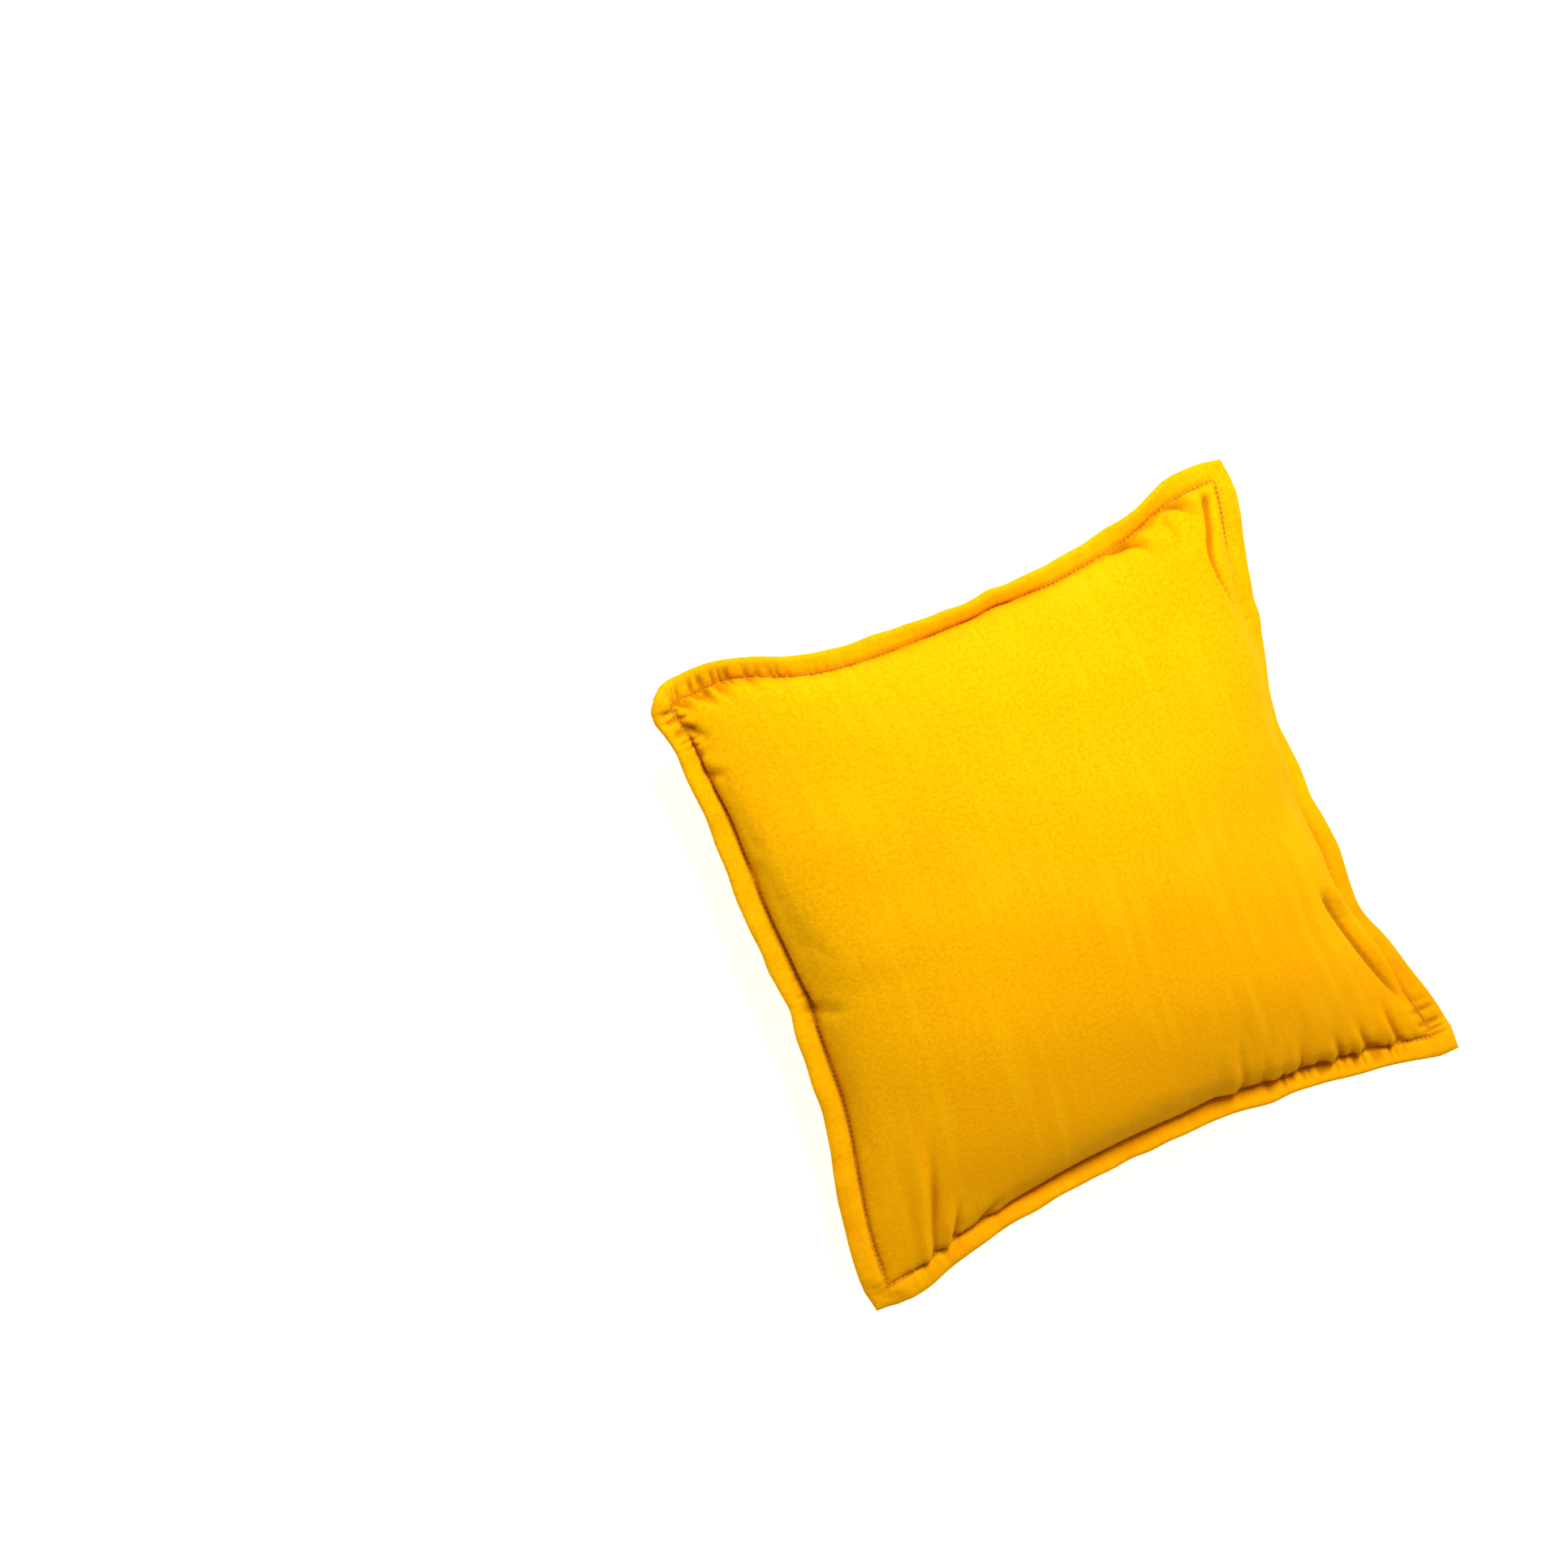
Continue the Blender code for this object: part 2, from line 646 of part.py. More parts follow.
def main():
    clear_scene()
    velvet = material("yellow_velvet", (0.95, 0.55, 0.0), 0.9)
    thread = material("yellow_thread", (0.85, 0.42, 0.0), 0.7)
    tape = material("zip_tape", (0.90, 0.50, 0.01), 0.85)
    nylon = material("zip_coil", (0.88, 0.48, 0.02), 0.35)
    metal = material("painted_zinc", (0.86, 0.45, 0.02), 0.35)
    cotton = material("white_cotton", (0.82, 0.80, 0.75), 0.9)
    fibre = material("polyester_fibre", (0.90, 0.90, 0.88), 1.0)
    make_front(velvet)
    make_back_panel("cover_back_upper", velvet, 1, UPPER_STEPS)
    make_back_panel("cover_back_lower", velvet, -1, LOWER_STEPS)
    make_threads(thread)
    make_box_stitch(thread)
    make_zip(tape, nylon, metal)
    make_pull(metal, make_slider(metal))
    make_casing("insert_casing_front", cotton, front_height)
    make_casing("insert_casing_back", cotton, back_height)
    make_fill(fibre)


main()
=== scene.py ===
# A square yellow velvet throw pillow with a narrow topstitched flange, lying on its back.
# The cover is simulated as one inflated envelope cut from flat cloth; every cloth piece is then
# laid on that envelope as a fine grid. Metres, +Z up, the bottom hem faces -Y.
import json
import math

import bpy
import numpy as np
from mathutils import Matrix, Vector

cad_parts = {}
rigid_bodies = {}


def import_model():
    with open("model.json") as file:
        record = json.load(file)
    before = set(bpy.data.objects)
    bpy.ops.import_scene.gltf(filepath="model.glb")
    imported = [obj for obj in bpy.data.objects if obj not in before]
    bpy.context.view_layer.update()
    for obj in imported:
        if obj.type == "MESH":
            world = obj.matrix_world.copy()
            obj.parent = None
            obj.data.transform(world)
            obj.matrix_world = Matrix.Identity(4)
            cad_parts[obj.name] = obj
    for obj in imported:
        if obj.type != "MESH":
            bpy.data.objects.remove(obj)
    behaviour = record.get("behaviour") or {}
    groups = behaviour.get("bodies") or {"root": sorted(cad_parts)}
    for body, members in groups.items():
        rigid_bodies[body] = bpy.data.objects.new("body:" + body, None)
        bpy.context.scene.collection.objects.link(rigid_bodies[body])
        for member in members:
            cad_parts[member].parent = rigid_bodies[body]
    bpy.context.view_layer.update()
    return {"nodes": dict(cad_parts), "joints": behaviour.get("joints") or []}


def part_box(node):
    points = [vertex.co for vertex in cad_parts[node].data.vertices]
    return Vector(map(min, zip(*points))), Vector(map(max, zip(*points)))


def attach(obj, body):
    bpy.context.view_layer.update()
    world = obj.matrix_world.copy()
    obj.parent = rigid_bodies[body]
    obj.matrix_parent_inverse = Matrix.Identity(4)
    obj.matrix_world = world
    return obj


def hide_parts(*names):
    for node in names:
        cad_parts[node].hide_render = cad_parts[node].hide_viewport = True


for leftover in list(bpy.data.objects):
    bpy.data.objects.remove(leftover, do_unlink=True)
scene = bpy.context.scene
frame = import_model()
zipRun = next(joint for joint in frame["joints"] if joint["name"] == "zip_run")
print("frame:", len(frame["nodes"]), "nodes")


# small helpers

def smooth(share):
    # 3s^2 - 2s^3 between 0 and 1, level at both ends
    share = np.clip(share, 0, 1)
    return share * share * (3 - 2 * share)


def bell(distance, width):
    # exp(-(d/w)^2)
    return np.exp(-((distance / width) ** 2))


def unit(vectors):
    return vectors / np.maximum(np.linalg.norm(vectors, axis=-1, keepdims=True), 1e-12)


def splineWeights(knots, points):
    # natural cubic spline as a matrix: values at points = weights @ values at knots
    count = len(knots)
    gap = np.diff(knots)
    before, after = gap[:-1], gap[1:]
    inner = np.arange(1, count - 1)
    system, pulse = np.eye(count), np.zeros((count, count))
    for step, share, kick in ((-1, before, 6 / before), (1, after, 6 / after),
                              (0, 2 * (before + after), -6 / before - 6 / after)):
        system[inner, inner + step] = share
        pulse[inner, inner + step] = kick
    bend = np.linalg.solve(system, pulse)
    cell = np.clip(np.searchsorted(knots, points, side="right") - 1, 0, count - 2)
    b = (points - knots[cell]) / gap[cell]
    a = 1 - b
    whole = np.eye(count)
    curved = (a**3 - a)[:, None] * bend[cell] + (b**3 - b)[:, None] * bend[cell + 1]
    return a[:, None] * whole[cell] + b[:, None] * whole[cell + 1] + curved * (gap[cell] ** 2 / 6)[:, None]


def quadsOf(ids):
    # a grid's faces from its points' numbers
    return np.stack([ids[:-1, :-1], ids[1:, :-1], ids[1:, 1:], ids[:-1, 1:]], -1).reshape(-1, 4)


def rimIds(rows, columns):
    # once round a grid's edge, anticlockwise where rows run along +X and columns along +Y
    ids = np.arange(rows * columns).reshape(rows, columns)
    return np.concatenate([ids[:-1, 0], ids[-1, :-1], ids[:0:-1, -1], ids[0, :0:-1]])


def addObject(name, data):
    made = bpy.data.objects.new(name, data)
    scene.collection.objects.link(made)
    return made


def addPiece(name, points, faces, coat, cut=None, under=None, crease=None):
    # a finished mesh with its place in its points, which stands for the frame node of its name.
    # under: a second material and its slice of faces. The last argument: how deep each point is in a fold,
    # 0 to 1, which the velvet paints as shade
    points = np.ascontiguousarray(points, np.float32).reshape(-1, 3)
    faces = np.asarray(faces)
    mesh = bpy.data.meshes.new(name)
    mesh.vertices.add(len(points))
    mesh.vertices.foreach_set("co", points.ravel())
    mesh.loops.add(faces.size)
    mesh.loops.foreach_set("vertex_index", faces.ravel().astype(np.int32))
    mesh.polygons.add(len(faces))
    mesh.polygons.foreach_set("loop_start", np.arange(0, faces.size, faces.shape[1], dtype=np.int32))
    mesh.update(calc_edges=True)
    mesh.validate()
    if cut is not None:
        cut = np.resize(cut, (len(points), 2))  # both skins have the same places
        mesh.uv_layers.new(name="cut").data.foreach_set("uv", cut[faces.ravel()].astype(np.float32).ravel())
    if crease is not None:
        # the fold depth, which the velvet paints as shade
        mesh.attributes.new("crease", "FLOAT", "POINT").data.foreach_set(
            "value", np.ravel(crease).astype(np.float32))
    mesh.materials.append(coat)
    if under:
        mesh.materials.append(under[0])
        which = np.zeros(len(mesh.polygons), np.int32)
        which[under[1]] = 1
        mesh.polygons.foreach_set("material_index", which)
    mesh.shade_smooth()
    piece = addObject(name + "_fine", mesh)
    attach(piece, "pillow")
    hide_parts(name)
    return piece


def shellMesh(outer, inner, faceDown=False):
    # two skins over one grid, closed round the rim; the outer one faces up, or down where faceDown
    rows, columns = outer.shape[:2]
    count = rows * columns
    top = quadsOf(np.arange(count).reshape(rows, columns))
    a = rimIds(rows, columns)
    b = np.roll(a, -1)
    faces = np.concatenate([top, (top + count)[:, ::-1], np.stack([a, a + count, b + count, b], -1)])
    points = np.concatenate([outer.reshape(-1, 3), inner.reshape(-1, 3)])
    return points, faces[:, ::-1] if faceDown else faces, slice(len(top), 2 * len(top))


def tubeMesh(path, radius, sides=6, across=None):
    # a round profile along each path of (runs, steps, 3), of even sides, with a cap of quads at each end
    runs, steps = path.shape[:2]
    ahead = unit(np.gradient(path, axis=1))
    up = np.broadcast_to(np.array([0.0, 0.0, 1.0]) if across is None else across, ahead.shape)
    side = unit(np.cross(up, ahead))
    up = np.cross(ahead, side)
    turn = 2 * np.pi * np.arange(sides) / sides
    ring = side[:, :, None] * np.cos(turn)[:, None] + up[:, :, None] * np.sin(turn)[:, None]
    points = path[:, :, None] + ring * radius
    ids = np.arange(runs * steps * sides).reshape(runs, steps, sides)
    rolled = np.roll(ids, -1, 2)
    walls = np.stack([ids[:, :-1], rolled[:, :-1], rolled[:, 1:], ids[:, 1:]], -1).reshape(-1, 4)
    faces = [walls]
    near, far = ids[:, 0], ids[:, -1]
    for a in range(sides // 2 - 1):
        b, c, d = a + 1, sides - 2 - a, sides - 1 - a
        faces += [np.stack([near[:, i] for i in (d, c, b, a)], -1),
                  np.stack([far[:, i] for i in (a, b, c, d)], -1)]
    return points.reshape(-1, 3), np.concatenate(faces)


# the envelope

envelope = dict(
    cut=0.450,  # the cloth is cut to this square
    flange=0.015, cells=84, flangeCells=3,
    start=0.97, startSwell=0.070, startPower=0.6, startPull=0.020,
    quickWidth=0.975, frames=44, seamPush=0.05, pushLevels=20,  # the push is least at the seam
    rules=dict(quality=7, mass=0.15, tension_stiffness=60.0, compression_stiffness=60.0,
               shear_stiffness=18.0, bending_stiffness=0.8, tension_damping=5, compression_damping=5,
               shear_damping=5, bending_damping=0.5, air_damping=1, use_pressure=True,
               uniform_pressure_force=0, use_pressure_volume=True, target_volume=0.0121,
               pressure_factor=150.0, vertex_group_pressure="push"),
)
lay = dict(
    middle=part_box("cover_front")[0].z - 0.00015,  # the flange's middle plane
    half=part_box("cover_front")[1].x,
    velvet=0.0016, seam=0.00015, floor=0.0, pressed=0.0030,
)
cutHalf = envelope["cut"] / 2
stitchAt = cutHalf - envelope["flange"]  # the stitch line on the flat cloth


# materials

class Wire:
    # wraps a socket, so that an expression adds its Math nodes
    def __init__(self, tree, socket):
        self.tree = tree
        self.socket = socket

    def combine(self, operation, other, turned=False):
        node = self.tree.nodes.new("ShaderNodeMath")
        node.operation = operation
        for place, value in zip(node.inputs, (other, self) if turned else (self, other)):
            if isinstance(value, Wire):
                self.tree.links.new(value.socket, place)
            else:
                place.default_value = value
        return Wire(self.tree, node.outputs[0])

    def __add__(self, other):
        return self.combine("ADD", other)

    def __sub__(self, other):
        return self.combine("SUBTRACT", other)

    def __rsub__(self, other):
        return self.combine("SUBTRACT", other, True)

    def __mul__(self, other):
        return self.combine("MULTIPLY", other)

    __radd__, __rmul__ = __add__, __mul__


class Coat:
    # one material and its nodes
    def __init__(self, name, **constants):
        self.material = bpy.data.materials.new(name)
        self.material.use_nodes = True
        self.tree = self.material.node_tree
        self.shader = self.tree.nodes["Principled BSDF"]
        for socket, value in constants.items():
            self.feed(socket.replace("_", " "), value)

    def add(self, kind, settings=None, sockets=None, out=""):
        # any node: its settings first, then the values or links of its sockets. It gives back the
        # output that is named, or the first one
        node = self.tree.nodes.new(kind)
        for key, value in (settings or {}).items():
            setattr(node, key, value)
        for key, value in (sockets or {}).items():
            self.plug(value, next(s for s in node.inputs if s.enabled and key in (s.name, s.identifier)))
        return Wire(self.tree, next(s for s in node.outputs if s.enabled and out in ("", s.name)))

    def plug(self, value, place):
        if isinstance(value, Wire):
            self.tree.links.new(value.socket, place)
        else:
            place.default_value = (*value, 1) if place.type == "RGBA" else value

    def feed(self, socket, value):
        self.plug(value, self.shader.inputs[socket])

    def place(self, layer=None):
        if layer:
            return self.add("ShaderNodeUVMap", {"uv_map": layer}, out="UV")
        return self.add("ShaderNodeTexCoord", out="Object")

    def split(self, where):
        # the first two coordinates of a place
        return [self.add("ShaderNodeSeparateXYZ", None, {"Vector": where}, way) for way in "XY"]

    def noise(self, where, scale, detail=2.0, rough=0.5, stretch=None):
        if stretch:
            where = self.add("ShaderNodeMapping", None, {"Vector": where, "Scale": stretch})
        return self.add("ShaderNodeTexNoise", None, {
            "Vector": where, "Scale": scale, "Detail": detail, "Roughness": rough}, out="Fac")

    def size(self, value):
        return value.combine("ABSOLUTE", 0.0)

    def between(self, value, low, high):
        # 0 below low, 1 above high, smooth between
        return self.add("ShaderNodeMapRange", {"interpolation_type": "SMOOTHSTEP"}, {
            "Value": value, "From Min": low, "From Max": high})

    def mix(self, share, a, b):
        return self.add("ShaderNodeMix", {"data_type": "RGBA"}, {
            "Factor_Float": share, "A_Color": a, "B_Color": b}, out="Result")

    def bump(self, height, distance, strength=1.0):
        self.feed("Normal", self.add("ShaderNodeBump", None, {
            "Height": height, "Distance": distance, "Strength": strength}))


velvetLook = dict(
    # the third colour is painted shade, mixed in more towards the bottom hem
    lit=(0.98, 0.475, 0.0), deep=(0.86, 0.375, 0.0), warm=(0.90, 0.335, 0.0), crushed=(1.0, 0.54, 0.002),
    # the first colour is crushed pile and painted shade along the stitch line
    seam=(0.48, 0.16, 0.0), seamReach=0.0024, seamShare=1.0, seamScale=70.0, stitchPitch=0.0035,
    # the first colour is painted shade in the folds and gathers
    crease=(0.46, 0.15, 0.0), creaseShare=0.85,
    pileScale=1900.0, grainScale=760.0, speckleScale=330.0, lineScale=120.0, blotchScale=16.0,
    sheen=0.3, sheenRoughness=0.45, sheenTint=(1.0, 0.62, 0.0),
)


def makeVelvet(name):
    # fine pile, lines along the nap, patches brushed the other way, a line of crushed pile and painted
    # shade at the stitches, painted shade in the folds, and painted shading that darkens and warms from the
    # top hem to the bottom one
    look = velvetLook
    coat = Coat(name, Roughness=0.88, Sheen_Weight=look["sheen"], Sheen_Roughness=look["sheenRoughness"],
                Sheen_Tint=look["sheenTint"], Specular_IOR_Level=0.03)
    cut = coat.place("cut")
    u, v = coat.split(cut)
    pile = coat.noise(cut, look["pileScale"], 2.0)
    grain = coat.noise(cut, look["grainScale"], 2.0, 0.5)
    lines = coat.noise(cut, look["lineScale"], 2.0, 0.5, (1, 0.05, 1))
    blotch = coat.noise(cut, look["blotchScale"], 3.0, 0.5)
    speckle = coat.noise(cut, look["speckleScale"], 1.0)
    shade = coat.between(grain * 0.35 + pile * 0.25 + speckle * 0.40, 0.38, 0.60)
    base = coat.mix(shade, look["deep"], look["lit"])
    # painted shading: the pile darker and warmer towards the bottom hem and a little towards the right,
    # with blotches
    paintedShading = coat.between(blotch * 0.22 - v + u * 0.15, 0.02, 0.36)
    base = coat.mix(paintedShading * 0.7, base, look["warm"])
    brushed = coat.between(blotch * 0.5 + lines * 0.5, 0.47, 0.66)
    base = coat.mix(brushed * 0.35, base, look["crushed"])
    farU, farV = coat.size(u), coat.size(v)
    offSeam = coat.size(farU.combine("MAXIMUM", farV) - stitchAt)
    alongSeam = farU.combine("MINIMUM", farV)
    dimple = (alongSeam * (2 * math.pi / look["stitchPitch"])).combine("COSINE", 0.0)
    # crushed pile and painted shade: a dark line along the stitch line, stronger at each stitch, broken by
    # noise
    seam = (1.0 - coat.between(offSeam, 0.0, look["seamReach"])) * (0.62 - 0.38 * dimple) * coat.between(
        coat.noise(cut, look["seamScale"], 2.0), 0.25, 0.55)
    base = coat.mix(seam * look["seamShare"], base, look["seam"])
    # painted shade in the folds and gathers, read from the fold-depth attribute
    crease = coat.add("ShaderNodeAttribute", {"attribute_name": "crease"}, out="Fac")
    coat.feed("Base Color", coat.mix(crease * look["creaseShare"], base, look["crease"]))
    coat.feed("Roughness", 0.82 + 0.14 * grain)
    coat.bump(pile * 0.5 + grain * 0.6 + speckle * 0.5 + lines * 0.3, 0.0009, 0.5)
    return coat.material


def makePlain(name, colour, roughness, scale=800.0, depth=0.0001, metallic=0.0, spread=0.25, **more):
    # a fine mottled finish on object coordinates
    coat = Coat(name, Roughness=roughness, Metallic=metallic, **more)
    where = coat.place()
    fine = coat.noise(where, scale, 3.0, 0.6)
    broad = coat.noise(where, scale * 0.06, 2.0)
    dark = tuple(c * (1 - spread) for c in colour)
    coat.feed("Base Color", coat.mix(coat.between(fine * 0.6 + broad * 0.4, 0.35, 0.65), dark, colour))
    coat.feed("Roughness", roughness - 0.08 + 0.16 * fine)
    coat.bump(fine, depth)
    return coat.material


def makeWeave(name, warp, weft, pitch, roughness=0.8):
    # plain weave: two crossed sine waves, each thread over and then under the other
    coat = Coat(name, Roughness=roughness, Specular_IOR_Level=0.25)
    cut = coat.place("cut")
    turns = 2 * math.pi / pitch
    u, v = (way * turns for way in coat.split(cut))
    waveU, waveV = u.combine("SINE", 0.0), v.combine("SINE", 0.0)
    over = coat.between(waveU * waveV, -0.5, 0.5)
    slub = coat.noise(cut, 0.25 / pitch, 3.0)
    coat.feed("Base Color", coat.mix(over * 0.6 + slub * 0.4, weft, warp))
    coat.feed("Roughness", roughness - 0.08 + 0.16 * slub)
    coat.bump(over * 0.7 + slub * 0.5, pitch * 0.2, 0.6)
    return coat.material


velvet = makeVelvet("yellowVelvet")
velvetUnder = makeWeave("yellowBacking", (0.78, 0.40, 0.02), (0.62, 0.28, 0.01), 0.0009)
sewingThread = makePlain("yellowThread", (0.66, 0.28, 0.003), 0.55, 3000.0, 0.00004, Sheen_Weight=0.2)
tapeWeave = makeWeave("zipTape", (0.74, 0.40, 0.02), (0.58, 0.29, 0.015), 0.0008)
coilNylon = makePlain("zipCoil", (0.72, 0.38, 0.03), 0.38, 900.0, 0.00002, spread=0.12)
zincPaint = makePlain("paintedZinc", (0.66, 0.34, 0.03), 0.32, 500.0, 0.00003, 0.25, 0.15, Coat_Weight=0.4)
cottonWeave = makeWeave("whiteCotton", (0.86, 0.85, 0.81), (0.74, 0.73, 0.69), 0.0008)
cottonThread = makePlain("whiteThread", (0.85, 0.84, 0.80), 0.6, 3000.0, 0.00004)
fibreFill = makePlain("polyesterFibre", (0.90, 0.90, 0.89), 0.9, 260.0, 0.0015, spread=0.12,
                      Sheen_Weight=0.4)
print("materials made")


def cutKnots():
    # places across the flat cloth: the flange, the body between the stitch lines, the flange
    body = np.linspace(-stitchAt, stitchAt, envelope["cells"] + 1)
    edge = np.linspace(stitchAt, cutHalf, envelope["flangeCells"] + 1)
    return np.concatenate([-edge[:0:-1], body, edge[1:]])


def startShape(x, y, side):
    # a pincushion: x(1 - pull(1 - t^2)), and height = swell ((1 - s^2)(1 - t^2))^power
    e = envelope
    s, t = np.clip(x / stitchAt, -1, 1), np.clip(y / stitchAt, -1, 1)
    height = side * e["startSwell"] * ((1 - s**2) * (1 - t**2)) ** e["startPower"]
    return np.stack([e["start"] * (x - e["startPull"] * s * (1 - t**2)),
                     e["start"] * (y - e["startPull"] * t * (1 - s**2)), height], -1)


def inflate():
    # one closed bag that shares its stitch line and flange; pressure drives it to a set volume
    e = envelope
    knots = cutKnots()
    count, edge = len(knots), e["flangeCells"]
    x, y = np.meshgrid(knots, knots, indexing="ij")
    inside = (np.abs(x) < stitchAt - 1e-6) & (np.abs(y) < stitchAt - 1e-6)
    frontIds = np.arange(count * count).reshape(count, count)
    backIds = frontIds.copy()
    backIds[inside] = count * count + np.arange(inside.sum())
    front, back = startShape(x, y, 1), startShape(x, y, -1)
    flat = np.stack([x, y, 0 * x], -1)
    points = np.concatenate([front.reshape(-1, 3), back[inside]])
    pattern = np.concatenate([flat.reshape(-1, 3), flat[inside]])
    body = np.zeros((count - 1, count - 1), bool)
    body[edge:-edge, edge:-edge] = True
    faces = np.concatenate([quadsOf(frontIds), quadsOf(backIds)[body.ravel()][:, ::-1]])
    mesh = bpy.data.meshes.new("bag")
    mesh.from_pydata(points.tolist(), [], faces.tolist())
    bag = addObject("bag", mesh)
    bag.shape_key_add(name="Basis")
    key = bag.shape_key_add(name="flat", from_mix=False)
    key.data.foreach_set("co", pattern.ravel().astype(np.float32))
    group = bag.vertex_groups.new(name="push")
    shares = np.clip(1 - (pattern[:, :2] / stitchAt) ** 2, 0, 1).prod(1)
    within = (np.abs(pattern[:, :2]) <= stitchAt + 1e-6).all(1)
    levels = np.round(e["pushLevels"] * (e["seamPush"] + (1 - e["seamPush"]) * shares)) / e["pushLevels"]
    for level in np.unique(levels[within]):
        group.add(np.nonzero(within & (levels == level))[0].tolist(), float(level), "REPLACE")
    cloth = bag.modifiers.new("cloth", "CLOTH")
    for rule, value in e["rules"].items():
        setattr(cloth.settings, rule, value)
    cloth.settings.rest_shape_key = key
    cloth.settings.effector_weights.gravity = 0
    cloth.collision_settings.use_collision = cloth.collision_settings.use_self_collision = False
    last = e["frames"] + 1
    scene.frame_start, scene.frame_end, cloth.point_cache.frame_end = 1, last, last
    for step in range(2, last + 1):
        scene.frame_set(step)
    settled = bag.evaluated_get(bpy.context.evaluated_depsgraph_get()).to_mesh()
    found = np.empty(len(points) * 3, np.float32)
    settled.vertices.foreach_get("co", found)
    found = found.reshape(-1, 3).astype(float)
    bpy.data.objects.remove(bag)
    scene.frame_set(1)
    return knots, found[frontIds], found[backIds]


knots, frontBase, backBase = inflate()
print("envelope: %.0f mm thick, %.0f mm wide at the hem" % (
    1000 * (frontBase[..., 2].max() - backBase[..., 2].min()),
    1000 * (frontBase[-1, 0, 0] - frontBase[0, 0, 0])))


# how the pillow lies

lie = dict(
    cornerCurl=0.011, cornerCurlReach=0.038, cornerPush=0.003, cornerRadius=0.026,
    wave=0.0024, ripple=0.0005, gentle=0.6, gentlePower=0.6, wallReach=0.19, wallLimit=1.15,
    edgeFrom=0.78, edgeOver=0.2,  # where the flange's waves begin, as shares of the way out
    floorReach=0.03,  # how far up the floor's pressing reaches
)
# The axis that each side faces along, and which way.
ways = dict(left=(0, -1), right=(0, 1), top=(1, 1), bottom=(1, -1))
# Each side's own swells and dips, in millimetres: side, place along it, spread, amount outwards.
swells = [
    ("left", -150, 60, 10.5), ("left", -40, 60, 7.2), ("left", 55, 55, 8.5), ("left", 175, 22, -3.5),
    ("left", -12, 9, -2.2), ("right", -20, 30, -4.0), ("right", -95, 28, -6.2), ("right", -185, 35, 3.5),
    ("right", 180, 35, 4.6), ("right", 88, 42, 6.4), ("top", 168, 34, 7.2), ("top", 30, 80, 1.8),
    ("top", 72, 10, -1.2), ("top", 30, 9, 1.4), ("top", -152, 36, 10.5), ("bottom", -180, 22, 3.0),
    ("bottom", 40, 12, -1.2), ("bottom", 82, 10, 1.4),
]
# The flange's own tilt: side, place along it and spread in millimetres, degrees upwards.
flangeTurns = [
    ("bottom", -55, 85, 34), ("bottom", 90, 60, 22), ("top", 10, 90, 36), ("right", 52, 62, -66),
    ("right", -70, 55, 20), ("left", -20, 40, 10), ("top", 158, 32, 46), ("top", -150, 30, 24),
]


def turnFlange(p):
    # each flange turns by an angle a about its stitch line:
    # out becomes out cos a - lift sin a, lift becomes out sin a + lift cos a
    edge, last = envelope["flangeCells"], len(knots) - 1
    for side, at, spread, degrees in flangeTurns:
        axis, sign = ways[side]
        rows = slice(last - edge, last + 1) if sign > 0 else slice(edge, None, -1)
        block = (p if axis == 0 else p.swapaxes(0, 1))[rows]
        hinge = block[0].copy()
        angle = math.radians(degrees) * bell(1000 * hinge[:, 1 - axis] - at, spread)
        out = sign * (block[1:, :, axis] - hinge[:, axis])
        lift = block[1:, :, 2] - hinge[:, 2]
        block[1:, :, axis] = hinge[:, axis] + sign * (out * np.cos(angle) - lift * np.sin(angle))
        block[1:, :, 2] = hinge[:, 2] + out * np.sin(angle) + lift * np.cos(angle)


def roundCorner(p, half):
    # the corner at -X +Y: inside the square of side R the way from the arc's centre (R, R) is
    # shortened by max(|a|, |b|) / sqrt(a^2 + b^2), which turns the square corner into a quarter disc
    radius = lie["cornerRadius"]
    a, b = p[..., 0] + half - radius, half - radius - p[..., 1]
    inside = (a < 0) & (b < 0)
    shorter = np.where(inside, np.maximum(np.abs(a), np.abs(b)) / np.maximum(np.hypot(a, b), 1e-9), 1)
    p[..., 0] += np.where(inside, a * (shorter - 1), 0)
    p[..., 1] -= np.where(inside, b * (shorter - 1), 0)


def gentler(points, side):
    # the walls lean more: part of the height comes from H((1 - s^2)(1 - t^2))^power, H the full swell
    p = points.copy()
    line = np.clip(knots / stitchAt, -1, 1)
    s, t = np.meshgrid(line, line, indexing="ij")
    top = p[..., 2].max() if side > 0 else p[..., 2].min()
    even = top * ((1 - s**2) * (1 - t**2)) ** lie["gentlePower"]
    p[..., 2] += lie["gentle"] * (even - p[..., 2]) * (np.maximum(np.abs(s), np.abs(t)) < 1)
    return p


